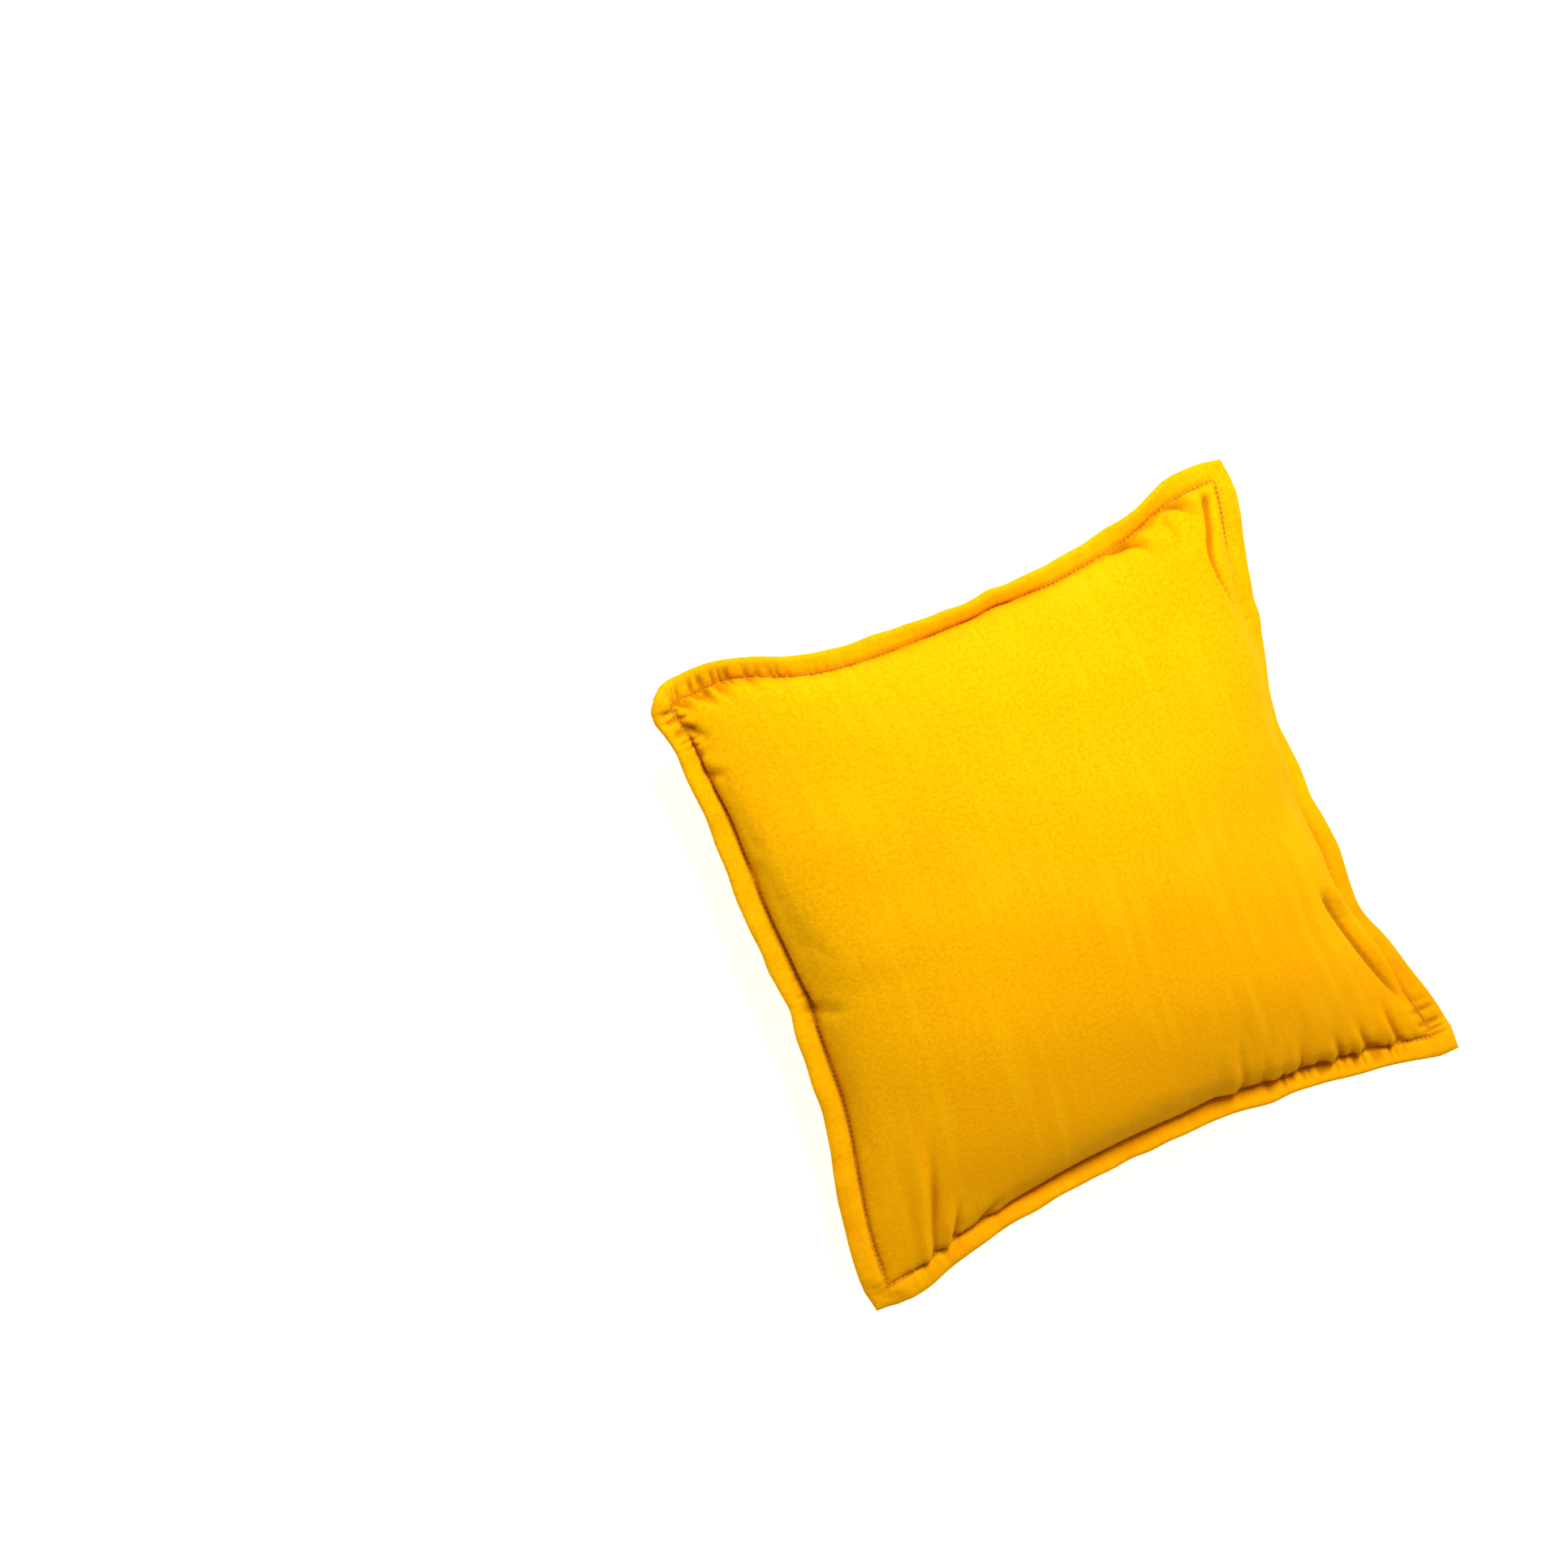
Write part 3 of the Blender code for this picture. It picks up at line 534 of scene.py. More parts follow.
def lieDown(points, side):
    # the whole envelope moves to its place: the middle plane's height, the flange's slow waves,
    # each side's swells, the crumpled corner at -X +Y, and the floor, which presses the back flat
    p = gentler(points, side)
    x, y = p[..., 0].copy(), p[..., 1].copy()
    half = lay["half"]
    for side, at, spread, amount in swells:
        axis, sign = ways[side]
        share = np.clip(sign * (x, y)[axis] / lie["wallReach"], 0, lie["wallLimit"]) ** 2
        p[..., axis] += sign * amount / 1000 * share * bell(1000 * (y, x)[axis] - at, spread)
    out = np.maximum(np.abs(x), np.abs(y)) / half
    edge = smooth((out - lie["edgeFrom"]) / lie["edgeOver"])
    along = np.arctan2(y, x)
    wave = np.sin(5 * along + 0.6) + 0.7 * np.sin(9 * along + 2.1) + 0.5 * np.sin(14 * along + 4.0)
    p[..., 2] += lie["wave"] * edge * wave
    jitter = np.sin(31 * along + 1.0) + 0.8 * np.sin(47 * along + 2.5) + 0.6 * np.sin(19 * along)
    outward = unit(np.stack([x, y], -1))
    p[..., :2] += outward * (lie["ripple"] * edge * jitter)[..., None]
    turnFlange(p)
    roundCorner(p, half)
    near = bell(np.hypot(x + half, y - half), lie["cornerCurlReach"])
    p[..., 2] += lie["cornerCurl"] * near
    p[..., 0] += lie["cornerPush"] * near
    p[..., 2] += lay["middle"]
    low = lay["velvet"] + lay["floor"]
    depth = p[..., 2] - low
    pressed = 0.5 * (depth + np.sqrt(depth**2 + lay["pressed"] ** 2))
    p[..., 2] = low + np.where(depth < lie["floorReach"], pressed, depth)
    return p


frontBase, backBase = lieDown(frontBase, 1), lieDown(backBase, -1)


# fine grids on the envelope

panel = dict(
    bodyCells=204, flangeCells=9, crowding=0.62,
    thick=0.0016, pinched=0.0009, padded=0.0030, edge=0.0006, pinchReach=0.0032,
    flangeTurn=0.30,  # the share of the flange over which it swells, and over which its edge rounds off
    upright=0.0035, innerReach=0.006, waveReach=0.05,
    roomShare=0.8,  # how much of the room between the skins a fold may take
    # the depths over which painted shade comes into the folds and the gathers, and the gathers' share of it
    creaseFrom=0.0007, creaseOver=0.0028, gatherFrom=0.0003, gatherOver=0.0015, gatherShare=0.75,
)


def bodyLines(cells):
    # places from stitch line to stitch line, closer together at both ends
    u = np.linspace(-1, 1, cells + 1)
    return stitchAt * ((1 - panel["crowding"]) * u + panel["crowding"] * np.sin(np.pi * u / 2))


def flangeLines():
    # places from just past the stitch line to the edge, closer together at both ends
    cells = panel["flangeCells"]
    return stitchAt + envelope["flange"] * (0.5 - 0.5 * np.cos(np.pi * np.arange(1, cells + 1) / cells))


def acrossCloth(bodyCells):
    # fine places across the cloth
    edge = flangeLines()
    return np.concatenate([-edge[::-1], bodyLines(bodyCells), edge])


def gridOn(base, weights):
    # the envelope at the same fine places both ways
    return np.einsum("im,jn,mnc->ijc", weights, weights, base, optimize=True)


def blockWeights(places):
    # spline weights that keep the crease at the stitch line: body and flanges are separate splines
    edge = envelope["flangeCells"]
    weights = np.zeros((len(places), len(knots)))
    tiny = 1e-9
    columns = np.arange(len(knots))
    for part, chosen in ((columns[:edge + 1], places < -stitchAt - tiny),
                         (columns[edge:-edge], np.abs(places) <= stitchAt + tiny),
                         (columns[-edge - 1:], places > stitchAt + tiny)):
        if chosen.any():
            weights[np.ix_(chosen, part)] = splineWeights(knots[part], places[chosen])
    return weights


def outwardDistance(cutX, cutY):
    # beyond the stitch line where positive, inside it where negative
    return np.maximum(np.abs(cutX), np.abs(cutY)) - stitchAt


def skinHeight(beyond):
    # from the envelope to the velvet's face; the flange is pinched at the stitches, padded by the
    # turned-in allowance and rounded off at the edge
    p = panel
    share = np.clip(beyond / envelope["flange"], 0, 1)
    over = np.clip(share - 1 + p["flangeTurn"], 0, 1) / p["flangeTurn"]
    rounded = np.sqrt(np.clip(1 - over**2, 0, 1))
    flange = p["pinched"] + (p["padded"] - p["pinched"]) * smooth(share / p["flangeTurn"]) * rounded \
        - (p["pinched"] - p["edge"]) * (1 - rounded)
    body = p["pinched"] + (p["thick"] - p["pinched"]) * smooth(-beyond / p["pinchReach"])
    return np.where(beyond > 0, flange, body)


def outNormals(points, beyond, side):
    # the envelope's own normal, turning to straight up (or down) near the stitch line
    share = bell(beyond, panel["upright"])[..., None]
    normal = unit(np.cross(np.gradient(points, axis=0), np.gradient(points, axis=1)))
    return unit(side * normal * (1 - share) + share * np.array([0.0, 0.0, side]))


# Folds in the front, in millimetres: the places of a short curve, a depth, a width, and its lip's side.
folds = [
    # the corner at +X +Y: broad soft folds and a double fold down the side
    ([(150, 204), (166, 203), (177, 195), (180, 172)], 4.8, 2.8, 1),
    ([(200, 203), (191, 190), (185, 174), (178, 156), (180, 120), (176, 95)], 5.8, 3.6, -1),
    ([(206, 190), (200, 165), (196, 138), (190, 105), (184, 70)], 4.6, 2.8, 1),
    ([(112, 187), (131, 187), (139, 180), (144, 162)], 3.4, 3.0, 1),
    ([(120, 190), (140, 194), (158, 203)], 4.6, 3.0, 1),
    ([(158, 196), (162, 182), (160, 160)], 2.2, 3.4, -1),
    ([(181, -10), (176, 20), (180, 55)], 2.4, 3.6, 1),
    # the corner at +X -Y: a fold beside the seam and tucks that radiate from the hem
    ([(156, -70), (172, -118), (188, -158), (200, -182)], 5.2, 3.8, 1),
    ([(182, -200), (178, -182), (174, -158)], 3.6, 2.6, 1),
    ([(160, -198), (155, -182), (150, -160)], 3.4, 2.6, 1),
    ([(139, -195), (135, -180), (130, -162)], 3.0, 2.6, 1),
    ([(67, -189), (63, -155), (68, -112)], 2.2, 4.0, 1),
    ([(80, -190), (80, -170), (85, -142)], 1.8, 3.2, -1),
    ([(110, -192), (107, -172), (110, -142)], 2.0, 3.4, 1),
    # the corner at -X -Y: one long crease and two short ones
    ([(-172, -204), (-167, -178), (-157, -143), (-147, -95)], 3.6, 3.4, 1),
    ([(-161, -202), (-152, -182), (-144, -160)], 3.2, 2.6, 1),
    ([(-144, -199), (-131, -186), (-114, -176)], 3.2, 2.8, -1),
    ([(-190, -12), (-176, -20), (-160, -22)], 1.8, 4.0, 1),
    # the crumpled corner at -X +Y
    ([(-208, 198), (-197, 203), (-188, 198), (-180, 186)], 4.4, 2.8, 1),
    ([(-184, 208), (-176, 200), (-166, 186)], 3.8, 2.8, 1),
    ([(-202, 188), (-191, 182), (-180, 168)], 3.8, 3.0, -1),
    ([(-168, 207), (-163, 199), (-157, 184)], 3.0, 2.6, 1),
    ([(-146, 205), (-143, 196), (-139, 182)], 2.0, 2.8, 1),
    ([(-197, 160), (-188, 150), (-176, 146)], 2.2, 3.2, 1),
]


def foldDepth(x, y, fold):
    # a valley -depth exp(-(d/w)^2) with a lip on one side, fading along the curve at its far end
    points, depth, width, lipSide = np.array(fold[0]) / 1000, fold[1] / 1000, fold[2] / 1000, fold[3]
    places = np.linspace(0, len(points) - 1, 40)
    curve = splineWeights(np.arange(len(points), dtype=float), places) @ points
    low, high = curve.min(0) - 5 * width, curve.max(0) + 5 * width
    near = (x > low[0]) & (x < high[0]) & (y > low[1]) & (y < high[1])
    found = np.zeros_like(x)
    px, py = x[near], y[near]
    gap = np.hypot(px[:, None] - curve[:, 0], py[:, None] - curve[:, 1])
    nearest = gap.argmin(1)
    distance = gap[np.arange(len(px)), nearest]
    ahead = np.gradient(curve, axis=0)[nearest]
    side = np.sign(ahead[:, 0] * (py - curve[nearest, 1]) - ahead[:, 1] * (px - curve[nearest, 0]))
    share = nearest / (len(curve) - 1)
    fade = smooth(share / 0.12) * smooth((1 - share) / 0.55)
    signed = distance * side * lipSide
    valley = -bell(distance, width)
    lip = 0.75 * bell(signed - 2.1 * width, 1.6 * width)
    found[near] = depth * (valley + lip) * fade
    return found


gathers = dict(
    pitch=0.0079, depth=0.0023, reach=0.013, everywhere=0.12,
    # where they are strong: side, place along it, spread, strength
    strong=[("top", -0.178, 0.036, 1.0), ("top", -0.110, 0.050, 0.45), ("left", 0.192, 0.022, 1.0),
            ("bottom", 0.165, 0.030, 0.8), ("bottom", 0.105, 0.045, 0.8), ("right", -0.198, 0.014, 0.9),
            ("right", 0.120, 0.020, 0.3), ("left", -0.010, 0.020, 0.5), ("bottom", -0.160, 0.030, 0.3)],
)


def gatherDepth(cutX, cutY):
    # narrow valleys across the stitch line that fade into the body and to the edge
    g = gathers
    beyond = outwardDistance(cutX, cutY)
    sideways = np.abs(cutX) > np.abs(cutY)
    along = np.where(sideways, cutY, cutX)
    sign = np.where(sideways, cutX, cutY) > 0
    warp = 0.0016 * np.sin(along * 310 + 1.3) + 0.0021 * np.sin(along * 173 + 4.1 * sign)
    comb = (0.5 + 0.5 * np.cos(2 * np.pi * (along + warp) / g["pitch"])) ** 1.6
    sides = {"left": sideways & ~sign, "right": sideways & sign,
             "top": ~sideways & sign, "bottom": ~sideways & ~sign}
    strength = np.full_like(along, g["everywhere"])
    strength *= 0.7 + 0.3 * np.sin(along * 57 + 2 * sign)
    for side, at, spread, amount in g["strong"]:
        strength += sides[side] * amount * bell(along - at, spread)
    flangeFade = 1 - smooth((beyond - 0.005) / 0.0100)
    bodyFade = bell(np.minimum(beyond + 0.001, 0), g["reach"] * 0.6)
    mitre = smooth(np.abs(np.abs(cutX) - np.abs(cutY)) / 0.004 + 0.2)
    return -g["depth"] * comb * strength * np.where(beyond > 0, flangeFade, bodyFade) * mitre


def softWaves(x, y):
    # slow unevenness of the filling, a sum of a few fixed waves
    return 0.0009 * (np.sin(31 * x + 17 * y + 0.4) + 0.8 * np.sin(-23 * x + 41 * y + 2.2)
                     + 0.5 * np.sin(67 * x - 29 * y + 1.0) + 0.4 * np.sin(19 * x + 83 * y + 3.3))


def foldShadeShare(folded, gathered):
    # how far each place is down in a fold or a gather, which the velvet paints as shade in its colour
    p = panel
    return np.maximum(smooth((-folded - p["creaseFrom"]) / p["creaseOver"]),
                      p["gatherShare"] * smooth((-gathered - p["gatherFrom"]) / p["gatherOver"]))


def skins(base, normal, beyond, creases, waves, room):
    # the cloth's two faces: creases go no deeper than the room to the other side of the pillow,
    # and the inner face follows the outer one, a cloth's thickness under it
    skin = skinHeight(beyond)
    depth = panel["roomShare"] * np.where(beyond > 0, 0, np.maximum(room, 0))
    creases = np.maximum(creases, panel["edge"] - skin - depth)
    outer = np.maximum(skin + creases + waves, panel["edge"] - depth)
    inner = lay["seam"] + (creases + waves) * smooth(-beyond / panel["innerReach"])
    inner = np.minimum(inner, outer - 0.8 * panel["edge"])
    return base + normal * outer[..., None], base + normal * inner[..., None]


def makeFront():
    places = acrossCloth(panel["bodyCells"])
    weights = blockWeights(places)
    base, under = gridOn(frontBase, weights), gridOn(backBase, weights)
    cutX, cutY = np.meshgrid(places, places, indexing="ij")
    beyond = outwardDistance(cutX, cutY)
    x, y = base[..., 0], base[..., 1]
    folded = sum(foldDepth(x, y, fold) for fold in folds) * (beyond < 0)
    gathered = gatherDepth(cutX, cutY)
    waves = softWaves(x, y) * smooth(-beyond / panel["waveReach"])
    room = 0.5 * (base[..., 2] - under[..., 2])
    outer, inner = skins(base, outNormals(base, beyond, 1), beyond, folded + gathered, waves, room)
    addCloth("cover_front", outer, inner, cutX, cutY, False, velvet, velvetUnder, "yellow_velvet",
             foldShadeShare(folded, gathered))


def addCloth(name, outer, inner, cutX, cutY, faceDown, coat, lining, slot, foldShade=None):
    # a panel of cloth with a face and a back
    points, faces, within = shellMesh(outer, inner, faceDown)
    # fold depths on the outer skin, for painted shade; none on the inner one
    crease = None if foldShade is None else np.stack([foldShade, 0 * foldShade])
    piece = addPiece(name, points, faces, coat, np.stack([cutX, cutY], -1), (lining, within), crease)


makeFront()
print("front panel made")


# The back: two panels with the zip's slot between them

zipLine = dict(
    y=zipRun["pos_m"][1], centre=zipRun["pos_m"][2], radius=0.855625,
    half=0.165, tilt=math.radians(28), slot=0.0046, endRoom=0.005, closing=0.006,
    stripHalf=0.016, stripEnd=0.012, blendUp=0.045, blendDown=0.006,
)
backPanel = dict(
    columns=150, upperRows=120, lowerRows=26, rowEven=0.35, fineRows=(0.00012, 0.00035, 0.0008, 0.0014),
    firstRow=0.0016, lipReach=0.0014, lipEdge=0.35, roll=0.0006, rollAt=0.0016, rollReach=0.0012,
    rollWithin=0.02, gatherShare=0.8,
)


def zipPlace(along, across, out):
    # along an arc in an XZ plane, across it up the tilted strip, and out of the cover
    z = zipLine
    along, across, out = np.broadcast_arrays(along, across, out)
    turn = along / z["radius"]
    reach = z["radius"] + across * math.sin(z["tilt"]) + out * math.cos(z["tilt"])
    y = z["y"] + across * math.cos(z["tilt"]) - out * math.sin(z["tilt"])
    return np.stack([reach * np.sin(turn), y, z["centre"] - reach * np.cos(turn)], -1)


def stripHeight(x, y, depth):
    # the height of the zip's cone at a place in plan: centre - sqrt(reach^2 - x^2)
    z = zipLine
    reach = z["radius"] + (y - z["y"]) * math.tan(z["tilt"]) + depth / math.cos(z["tilt"])
    return z["centre"] - np.sqrt(np.maximum(reach**2 - x**2, 0))


def stripShare(points, cutX, hem):
    # 1 on the strip that the zip lies in, 0 at the stitch lines and further up the back
    z = zipLine
    y = points[..., 1]
    roomSide = stitchAt - (z["half"] + z["stripEnd"]) * 1.10
    toSide = (stitchAt - np.abs(cutX)) / roomSide
    toHem = (y - hem) / np.maximum(z["y"] - z["stripHalf"] - hem, z["blendDown"])
    toMiddle = (z["y"] + z["stripHalf"] + z["blendUp"] - y) / z["blendUp"]
    return smooth(toSide) * smooth(toHem) * smooth(toMiddle)


def withStrip(points, cutX, hem, depth):
    # the back, drawn to the zip's strip where the share says so
    p = points.copy()
    share = stripShare(p, cutX, hem)
    p[..., 2] += (stripHeight(p[..., 0], p[..., 1], depth) - p[..., 2]) * share
    return p


def slotHalf(x):
    # half the slot's width, closing past the zip's ends
    z = zipLine
    past = (np.abs(x) - z["half"] - z["endRoom"]) / z["closing"]
    return z["slot"] + (lay["seam"] - z["slot"]) * smooth(past)


def onEnvelope(base, cutX, cutY):
    # the envelope at any places on the cloth
    shape = np.shape(cutX)
    a, b = blockWeights(np.ravel(cutX)), blockWeights(np.ravel(cutY))
    return np.einsum("pm,pmc->pc", a, np.einsum("pn,mnc->pmc", b, base, optimize=True)).reshape(*shape, 3)


def makeBackPanel(name, side):
    # rows run from the slot's edge to the hem; side is 1 above the zip and -1 below it
    b = backPanel

    def turned(rows):
        # keeps the grid the same way up on both sides of the zip
        return rows if side > 0 else rows[:, ::-1]

    acrossX, edge = acrossCloth(b["columns"]), flangeLines()
    lines = np.einsum("im,mnc->inc", blockWeights(acrossX), backBase)  # a curve up the back at each column
    start = np.full(len(acrossX), zipLine["y"])
    for _ in range(12):  # where each of those curves crosses the slot's edge
        here = np.einsum("im,imc->ic", blockWeights(start), lines)
        target = zipLine["y"] + side * slotHalf(here[:, 0]) * math.cos(zipLine["tilt"]) \
            + lay["velvet"] * math.sin(zipLine["tilt"])
        start = start + (target - here[:, 1])
    start = start[:, None]
    steps = np.linspace(0, 1, (b["upperRows"] if side > 0 else b["lowerRows"]) + 1)
    shares = b["rowEven"] * steps + (1 - b["rowEven"]) * (0.5 - 0.5 * np.cos(np.pi * steps))
    bodyY = start + shares[1:] * (side * stitchAt - start) + side * b["firstRow"] * (1 - shares[1:])
    hemY = np.broadcast_to(side * edge, (len(acrossX), len(edge)))
    cutY = np.concatenate([start, start + side * np.array(b["fineRows"]), bodyY, hemY], 1)
    cutX = np.broadcast_to(acrossX[:, None], cutY.shape)
    weights = blockWeights(cutY.ravel()).reshape(*cutY.shape, -1)
    base = np.einsum("iwm,imc->iwc", weights, lines, optimize=True)
    hemRow = np.einsum("m,imc->ic", blockWeights(np.array([-stitchAt]))[0], lines)[:, 1]
    base = withStrip(base, cutX, hemRow[:, None], -lay["velvet"])
    beyond = outwardDistance(cutX, cutY)
    normal = turned(outNormals(turned(base), turned(beyond), -1))
    fromSlot = side * (cutY - start)
    inBody = smooth((cutHalf - np.abs(cutX)) / 0.001)
    rounded = np.sqrt(np.clip(1 - np.clip(1 - fromSlot / b["lipReach"], 0, 1) ** 2, 0, 1))
    x, y, z = (base[..., i] for i in range(3))
    chosen = [fold for fold in folds if fold[0][0][1] < 100 or fold[0][0][0] > 0]
    folded = sum(foldDepth(-x, -y, fold) for fold in chosen) * smooth((y + 0.115) / 0.02) * (beyond < 0)
    gathered = b["gatherShare"] * gatherDepth(-cutX, cutY)
    # no waves at the floor, at the seams and beside the zip
    waves = softWaves(x + 0.3, y - 0.2) * smooth(-beyond / panel["waveReach"]) \
        * smooth((z - 0.004) / 0.01) * smooth((y + 0.10) / 0.03)
    outer, inner = skins(base, normal, beyond, folded + gathered, waves, lay["middle"] - z)
    height = ((outer - base) * normal).sum(-1)
    rolled = height + b["roll"] * bell(fromSlot - b["rollAt"], b["rollReach"]) * inBody
    rolled = rolled * (b["lipEdge"] + (1 - b["lipEdge"]) * rounded)
    outer = base + normal * np.where(fromSlot < b["rollWithin"], rolled, height)[..., None]
    outer[..., 2] = np.maximum(outer[..., 2], 0.0)
    addCloth(name, *(turned(rows) for rows in (outer, inner, cutX, cutY)), True, velvet, velvetUnder,
             "yellow_velvet", turned(foldShadeShare(folded, gathered)))


makeBackPanel("cover_back_upper", 1)
makeBackPanel("cover_back_lower", -1)
print("back panels made")


# Stitches: short capped tubes whose ends dive into the velvet

stitch = dict(pitch=0.0035, length=0.0029, radius=0.00032, rise=0.00028, out=0.0010, steps=6)


def stitchRuns(middle, ahead, outward):
    # paths along ahead, high in the middle and sunk at both ends: rise (1 - 2.2 q^4)
    q = np.linspace(-1, 1, stitch["steps"])
    along = stitch["length"] / 2 * q
    lift = stitch["rise"] * (1 - 2.2 * q**4)
    return middle[:, None] + ahead[:, None] * along[None, :, None] + outward[:, None] * lift[None, :, None]


def evenPlaces(half, pitch):
    # the middles of equal steps from -half to half
    count = round(2 * half / pitch)
    return ((np.arange(count) + 0.5) / count * 2 - 1) * half


def roundTheCloth(half, pitch):
    # stitches' places along the four sides of the cloth, off its corners
    t = evenPlaces(half, pitch)
    end = 0 * t + half
    return np.concatenate([t, end, -t, -end]), np.concatenate([-end, t, end, -t])


def makeTopstitch(name, base, side):
    x, y = roundTheCloth(stitchAt + stitch["out"], stitch["pitch"])
    step = 0.0005
    upright = np.abs(x) >= np.abs(y)
    aheadX, aheadY = np.where(upright, 0, step), np.where(upright, step, 0)

    def face(a, b):
        p = onEnvelope(base, a, b)
        relief = 0.6 * gatherDepth(a, b) if side > 0 else backPanel["gatherShare"] * gatherDepth(-a, b)
        p[:, 2] += side * (skinHeight(outwardDistance(a, b)) + relief)
        return p

    middle = face(x, y)
    ahead = unit(face(x + aheadX, y + aheadY) - face(x - aheadX, y - aheadY))
    outward = np.broadcast_to(np.array([0.0, 0.0, side]), middle.shape)
    points, faces = tubeMesh(stitchRuns(middle, ahead, outward), stitch["radius"])
    addPiece(name, points, faces, sewingThread)


makeTopstitch("topstitch_front", frontBase, 1)
makeTopstitch("topstitch_back", backBase, -1)


# The zip

zipParts = dict(
    tapeInner=0.0013, tapeOuter=0.014, tapeEnd=0.010, tapeTop=-0.0020, tapeThick=0.0005,
    coilPitch=0.0015, coilCentre=0.00092, coilAcross=0.00098, coilOut=-0.00085, coilRise=0.00085,
    perTurn=12, squareness=0.7,
    wire=0.00034, parting=0.00115, partFrom=0.1563, partOver=0.0047,
    boxAcross=0.0085, boxEnd=0.008, boxLift=0.00010,
)


def rowParting(along):
    return zipParts["parting"] * smooth((along - zipParts["partFrom"]) / zipParts["partOver"])


def makeTape(name, side):
    z = zipParts
    end = zipLine["half"] + z["tapeEnd"]
    along = np.linspace(-end, end, 241)[:, None]
    across = np.linspace(z["tapeInner"], z["tapeOuter"], 14)[None, :]
    bent = rowParting(along) * (1 - smooth((across - z["tapeInner"]) / 0.006))
    rib = 0.00006 * np.cos(2 * np.pi * across / 0.0016)
    across = side * (across + bent)
    outer = zipPlace(along, across, z["tapeTop"] + rib)
    inner = zipPlace(along, across, z["tapeTop"] - z["tapeThick"] + 0 * rib)
    if side < 0:
        outer, inner, across = outer[:, ::-1], inner[:, ::-1], across[:, ::-1]
    points, faces, _ = shellMesh(outer, inner, True)
    addPiece(name, points, faces, tapeWeave, np.stack(np.broadcast_arrays(along, across), -1))


def makeCoil(name, side):
    # a helix along the strip, squarer than round, the two rows half a turn apart
    z = zipParts
    turns = round(2 * zipLine["half"] / z["coilPitch"])
    turn = np.arange(turns * z["perTurn"] + 1) / z["perTurn"]
    phase = 2 * np.pi * turn + (np.pi if side < 0 else 0)
    along = -zipLine["half"] + 2 * zipLine["half"] * turn / turns
    level, rise = (np.sign(wave) * np.abs(wave) ** z["squareness"]
                   for wave in (np.cos(phase), np.sin(phase)))
    across = side * (z["coilCentre"] + z["coilAcross"] * level + rowParting(along))
    path = zipPlace(along, across, z["coilOut"] + z["coilRise"] * rise)
    axis = unit(zipPlace(along + 1e-4, 0, 0) - zipPlace(along - 1e-4, 0, 0))
    points, faces = tubeMesh(path[None], z["wire"], across=axis[None])
    addPiece(name, points, faces, coilNylon)


def makeBoxStitch():
    # a box of stitches round the slot, through the velvet and the tapes
    z = zipParts
    end, wide = zipLine["half"] + z["boxEnd"], z["boxAcross"]
    t, u = evenPlaces(end, stitch["pitch"]), evenPlaces(wide, stitch["pitch"])
    along = np.concatenate([t, t, 0 * u + end, 0 * u - end])
    across = np.concatenate([0 * t + wide, 0 * t - wide, u, u])
    lengthwise = np.concatenate([0 * t + 1, 0 * t + 1, 0 * u, 0 * u])
    step = 1e-4
    ahead = unit(zipPlace(along + step * lengthwise, across + step * (1 - lengthwise), 0)
                 - zipPlace(along - step * lengthwise, across - step * (1 - lengthwise), 0))
    middle = zipPlace(along, across, z["boxLift"])
    outward = unit(zipPlace(along, across, 1e-3) - zipPlace(along, across, 0))
    points, faces = tubeMesh(stitchRuns(middle, ahead, outward), stitch["radius"], across=outward[:, None])
    addPiece("zip_box_stitch", points, faces, sewingThread)


makeTape("zip_tape_upper", 1)
makeTape("zip_tape_lower", -1)
makeCoil("zip_coil_upper", 1)
makeCoil("zip_coil_lower", -1)
makeBoxStitch()
for name in ("zip_slider", "zip_pull", "zip_top_stop_upper", "zip_top_stop_lower", "zip_bottom_stop"):
    part = frame["nodes"][name]
    part.data.materials.clear()
    part.data.materials.append(zincPaint)
print("zip made")


# The insert: the envelope drawn in about its middle, in cotton, with the fibre inside it

insert = dict(
    cells=110, plan=0.952, rise=0.955, casing=0.0007, seam=0.00015, atZip=-0.0075,
    fillPlan=0.93, fillRise=0.935, fillAtZip=-0.0105, fillRim=0.0003, lump=0.0011,
    seamPitch=0.0042, seamReach=0.0014, seamRadius=0.0003,
    pucker=0.0004, puckerPitch=0.011, puckerReach=0.010,
)


insertLines = bodyLines(insert["cells"])
insertWeights = blockWeights(insertLines)
insertCutX, insertCutY = np.meshgrid(insertLines, insertLines, indexing="ij")
insertBeyond = outwardDistance(insertCutX, insertCutY)


def scaled(p, plan, rise):
    # about the middle of the flange's plane
    p[..., :2] *= plan
    p[..., 2] = lay["middle"] + (p[..., 2] - lay["middle"]) * rise
    return p


def drawnIn(base, plan, rise, depth=None):
    # a back, given a depth, keeps inside the zip's strip
    p = scaled(gridOn(base, insertWeights), plan, rise)
    return p if depth is None else withStrip(p, insertCutX * plan, p[:, :1, 1], depth)


def makeCasings():
    i = insert
    for name, base, side, depth in (("insert_casing_front", frontBase, 1, None),
                                    ("insert_casing_back", backBase, -1, i["atZip"])):
        skin = drawnIn(base, i["plan"], i["rise"], depth)
        normal = outNormals(skin, insertBeyond, side)
        pucker = i["pucker"] * np.cos(2 * np.pi * (insertCutX + insertCutY) / i["puckerPitch"])
        ease = (pucker * bell(insertBeyond, i["puckerReach"]) * (1 - bell(insertBeyond, 0.001)))[..., None]
        inner = skin + normal * (i["seam"] + ease)
        addCloth(name, inner + normal * i["casing"], inner, insertCutX, insertCutY, side < 0,
                 cottonWeave, cottonWeave, "white_cotton")


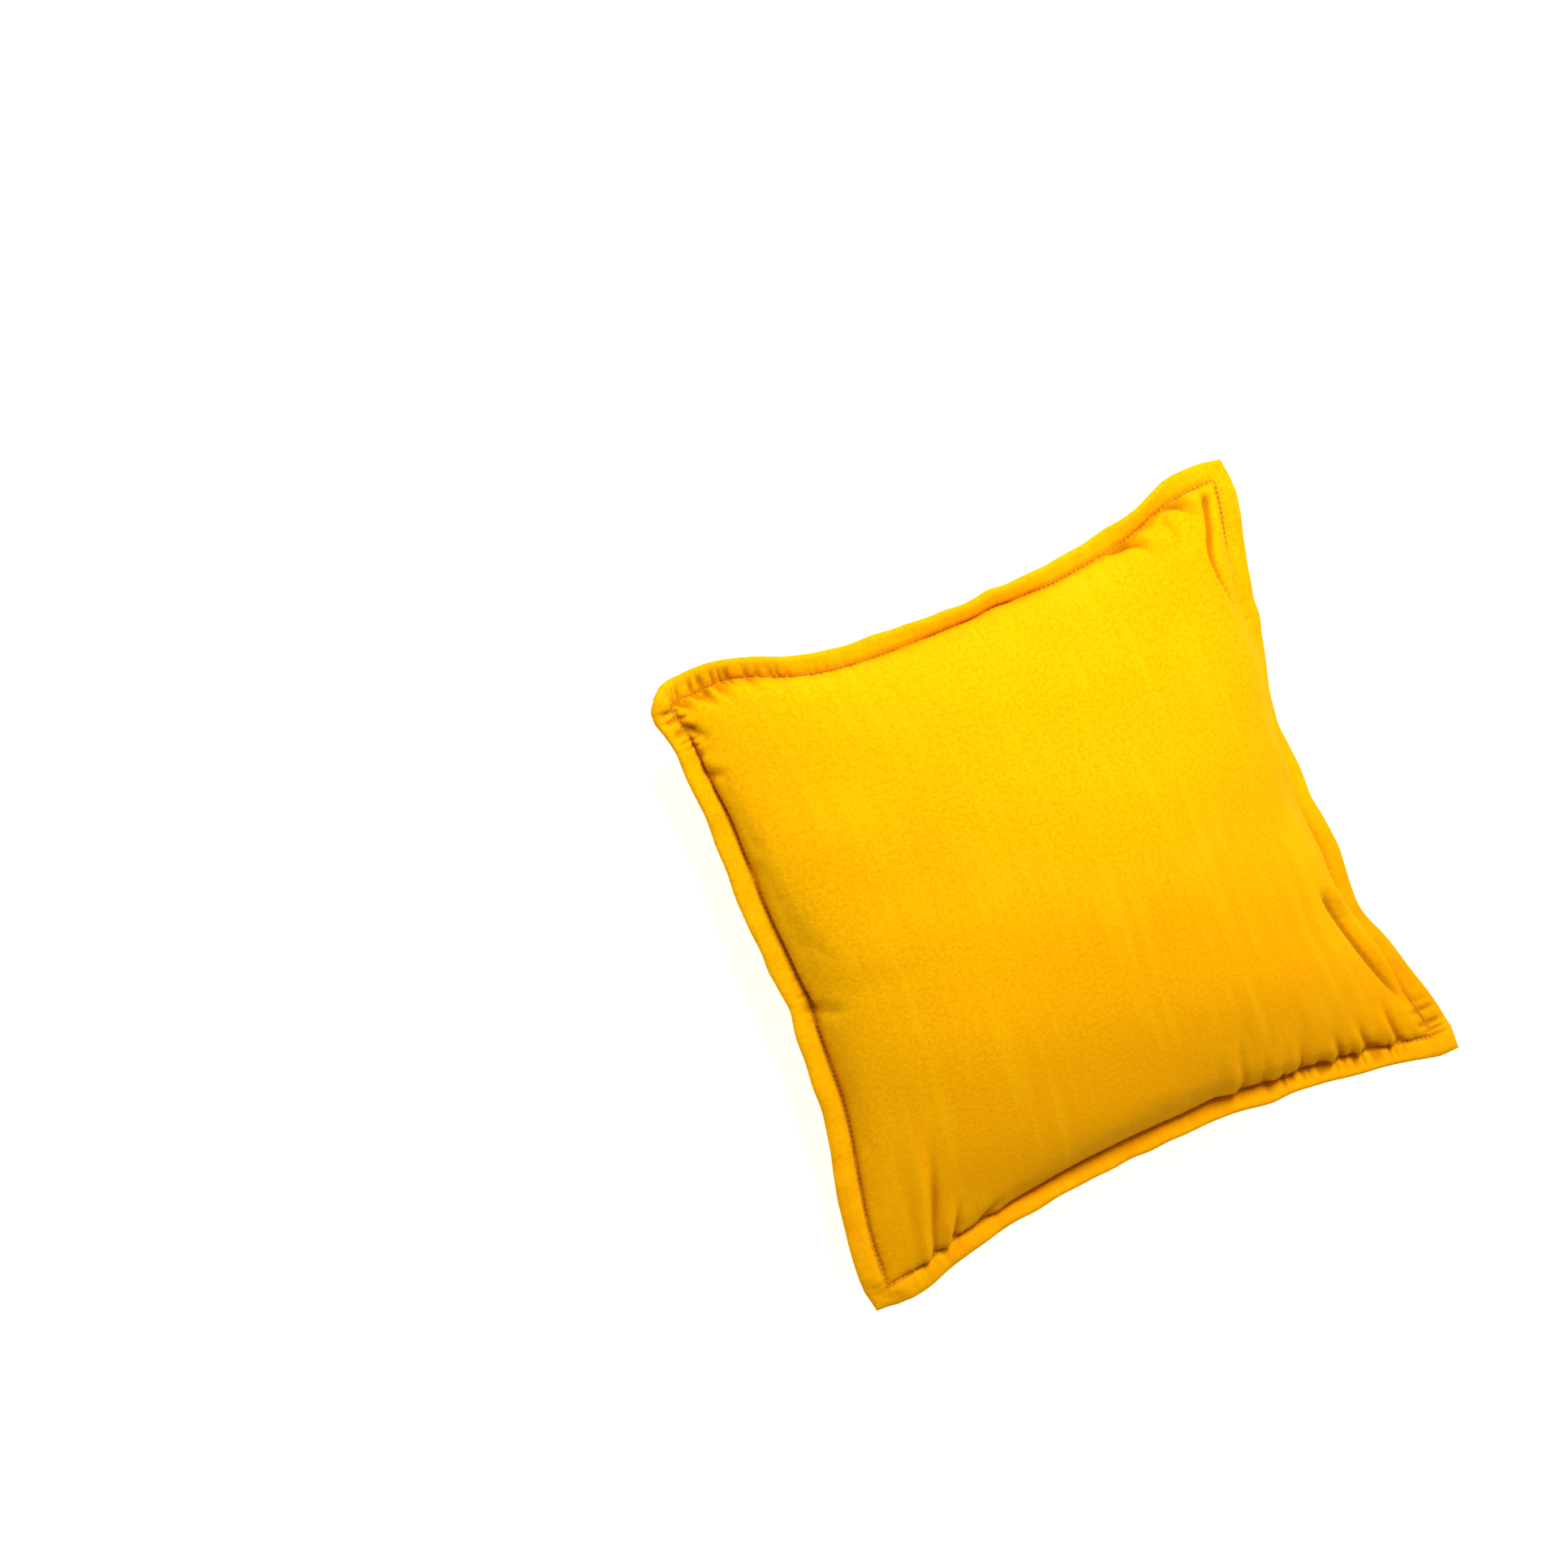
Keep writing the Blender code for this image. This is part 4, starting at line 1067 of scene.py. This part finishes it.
def makeFill():
    i = insert
    front = drawnIn(frontBase, i["fillPlan"], i["fillRise"])
    back = drawnIn(backBase, i["fillPlan"], i["fillRise"], i["fillAtZip"])
    x, y = front[..., 0], front[..., 1]
    inward = smooth(-insertBeyond / 0.03)
    tuft = np.sin(140 * x + 60 * y) * np.sin(-70 * x + 155 * y + 1) \
        + 0.6 * np.sin(260 * x + 1.7) * np.sin(240 * y)
    front[..., 2] += i["fillRim"] + i["lump"] * inward * (tuft - 1.6)
    back[..., 2] -= i["fillRim"] + i["lump"] * inward * (tuft[::-1] - 1.6)
    points, faces, _ = shellMesh(front, back)
    piece = addPiece("insert_fill", points, faces, fibreFill,
                     np.stack([insertCutX, insertCutY], -1))


def makeInsertSeam():
    # whip stitches: each goes over the rim in a half circle and a little along it
    i = insert
    x, y = roundTheCloth(stitchAt, i["seamPitch"])
    rim = scaled(onEnvelope(frontBase, x, y), i["plan"], i["rise"])
    sideways = np.abs(x) >= np.abs(y)
    out = np.stack([np.where(sideways, np.sign(x), 0), np.where(sideways, 0, np.sign(y)), 0 * x], -1)
    ahead = np.stack([-out[:, 1], out[:, 0], 0 * x], -1)
    turn = np.linspace(-0.5, 0.5, 7) * np.pi
    reach = i["seamReach"]
    path = rim[:, None] + out[:, None] * (0.7 * reach * np.cos(turn) + 0.0004)[None, :, None] \
        + ahead[:, None] * (turn / np.pi * i["seamPitch"] * 0.55)[None, :, None]
    path[..., 2] += reach * np.sin(turn)
    points, faces = tubeMesh(path, i["seamRadius"], across=ahead[:, None])
    addPiece("insert_seam_thread", points, faces, cottonThread)


makeCasings()
makeFill()
makeInsertSeam()
print("insert made")


# Floor, light and camera

studio = dict(
    floorSize=8.0, floorColour=(0.93, 0.93, 0.93), floorGlow=0.84,
    keyFrom=(0.32, 0.86, 1.44), keySize=0.7, keyPower=31.5,
    fillFrom=(1.1, 0.2, 1.3), fillSize=2.0, fillPower=3.5,
    world=(0.80, 0.80, 0.80), worldStrength=0.31,
)
lens = dict(
    focal=50.0, sensor=36.0, aim=(-0.1466, 0.1268, 0.070), distance=1.4273,
    lean=9.71, towards=167.2, roll=-22.04,
)


def makeFloor():
    coat = Coat("paleFloor", Roughness=0.9, Specular_IOR_Level=0.1, Emission_Color=studio["floorColour"],
                Emission_Strength=studio["floorGlow"])
    where = coat.place()
    fine = coat.noise(where, 60.0, 3.0)
    pale = studio["floorColour"]
    coat.feed("Base Color", coat.mix(fine, tuple(c * 0.99 for c in pale), pale))
    half = studio["floorSize"] / 2
    corners = [(-half, -half, 0), (half, -half, 0), (half, half, 0), (-half, half, 0)]
    mesh = bpy.data.meshes.new("floor")
    mesh.from_pydata(corners, [], [(0, 1, 2, 3)])
    mesh.materials.append(coat.material)
    floor = addObject("floor", mesh)


def addLight(name, where, size, power):
    light = bpy.data.lights.new(name, "AREA")
    light.shape = "DISK"
    light.size = size
    light.energy = power
    lamp = addObject(name, light)
    lamp.location = where
    lamp.rotation_euler = (Vector((0, 0, 0.07)) - Vector(where)).to_track_quat("-Z", "Y").to_euler()


def makeCamera():
    lean, towards, roll = (math.radians(lens[key]) for key in ("lean", "towards", "roll"))
    back = Vector((math.sin(lean) * math.cos(towards), math.sin(lean) * math.sin(towards), math.cos(lean)))
    level = (Vector((0, 1, 0)) - back * back.y).normalized()
    up = level * math.cos(roll) - level.cross(back) * math.sin(roll)
    camera = bpy.data.cameras.new("camera")
    camera.lens, camera.sensor_width = lens["focal"], lens["sensor"]
    camera.clip_start, camera.clip_end = 0.05, 50
    eye = addObject("camera", camera)
    turn = Matrix((up.cross(back), up, back)).transposed().to_4x4()
    eye.matrix_world = Matrix.Translation(Vector(lens["aim"]) + back * lens["distance"]) @ turn
    scene.camera = eye


makeFloor()
addLight("key", studio["keyFrom"], studio["keySize"], studio["keyPower"])
addLight("fill", studio["fillFrom"], studio["fillSize"], studio["fillPower"])
world = bpy.data.worlds.new("studio")
world.use_nodes = True
sky = world.node_tree.nodes["Background"].inputs
sky["Color"].default_value = (*studio["world"], 1)
sky["Strength"].default_value = studio["worldStrength"]
scene.world = world
scene.view_settings.view_transform = "Standard"
makeCamera()
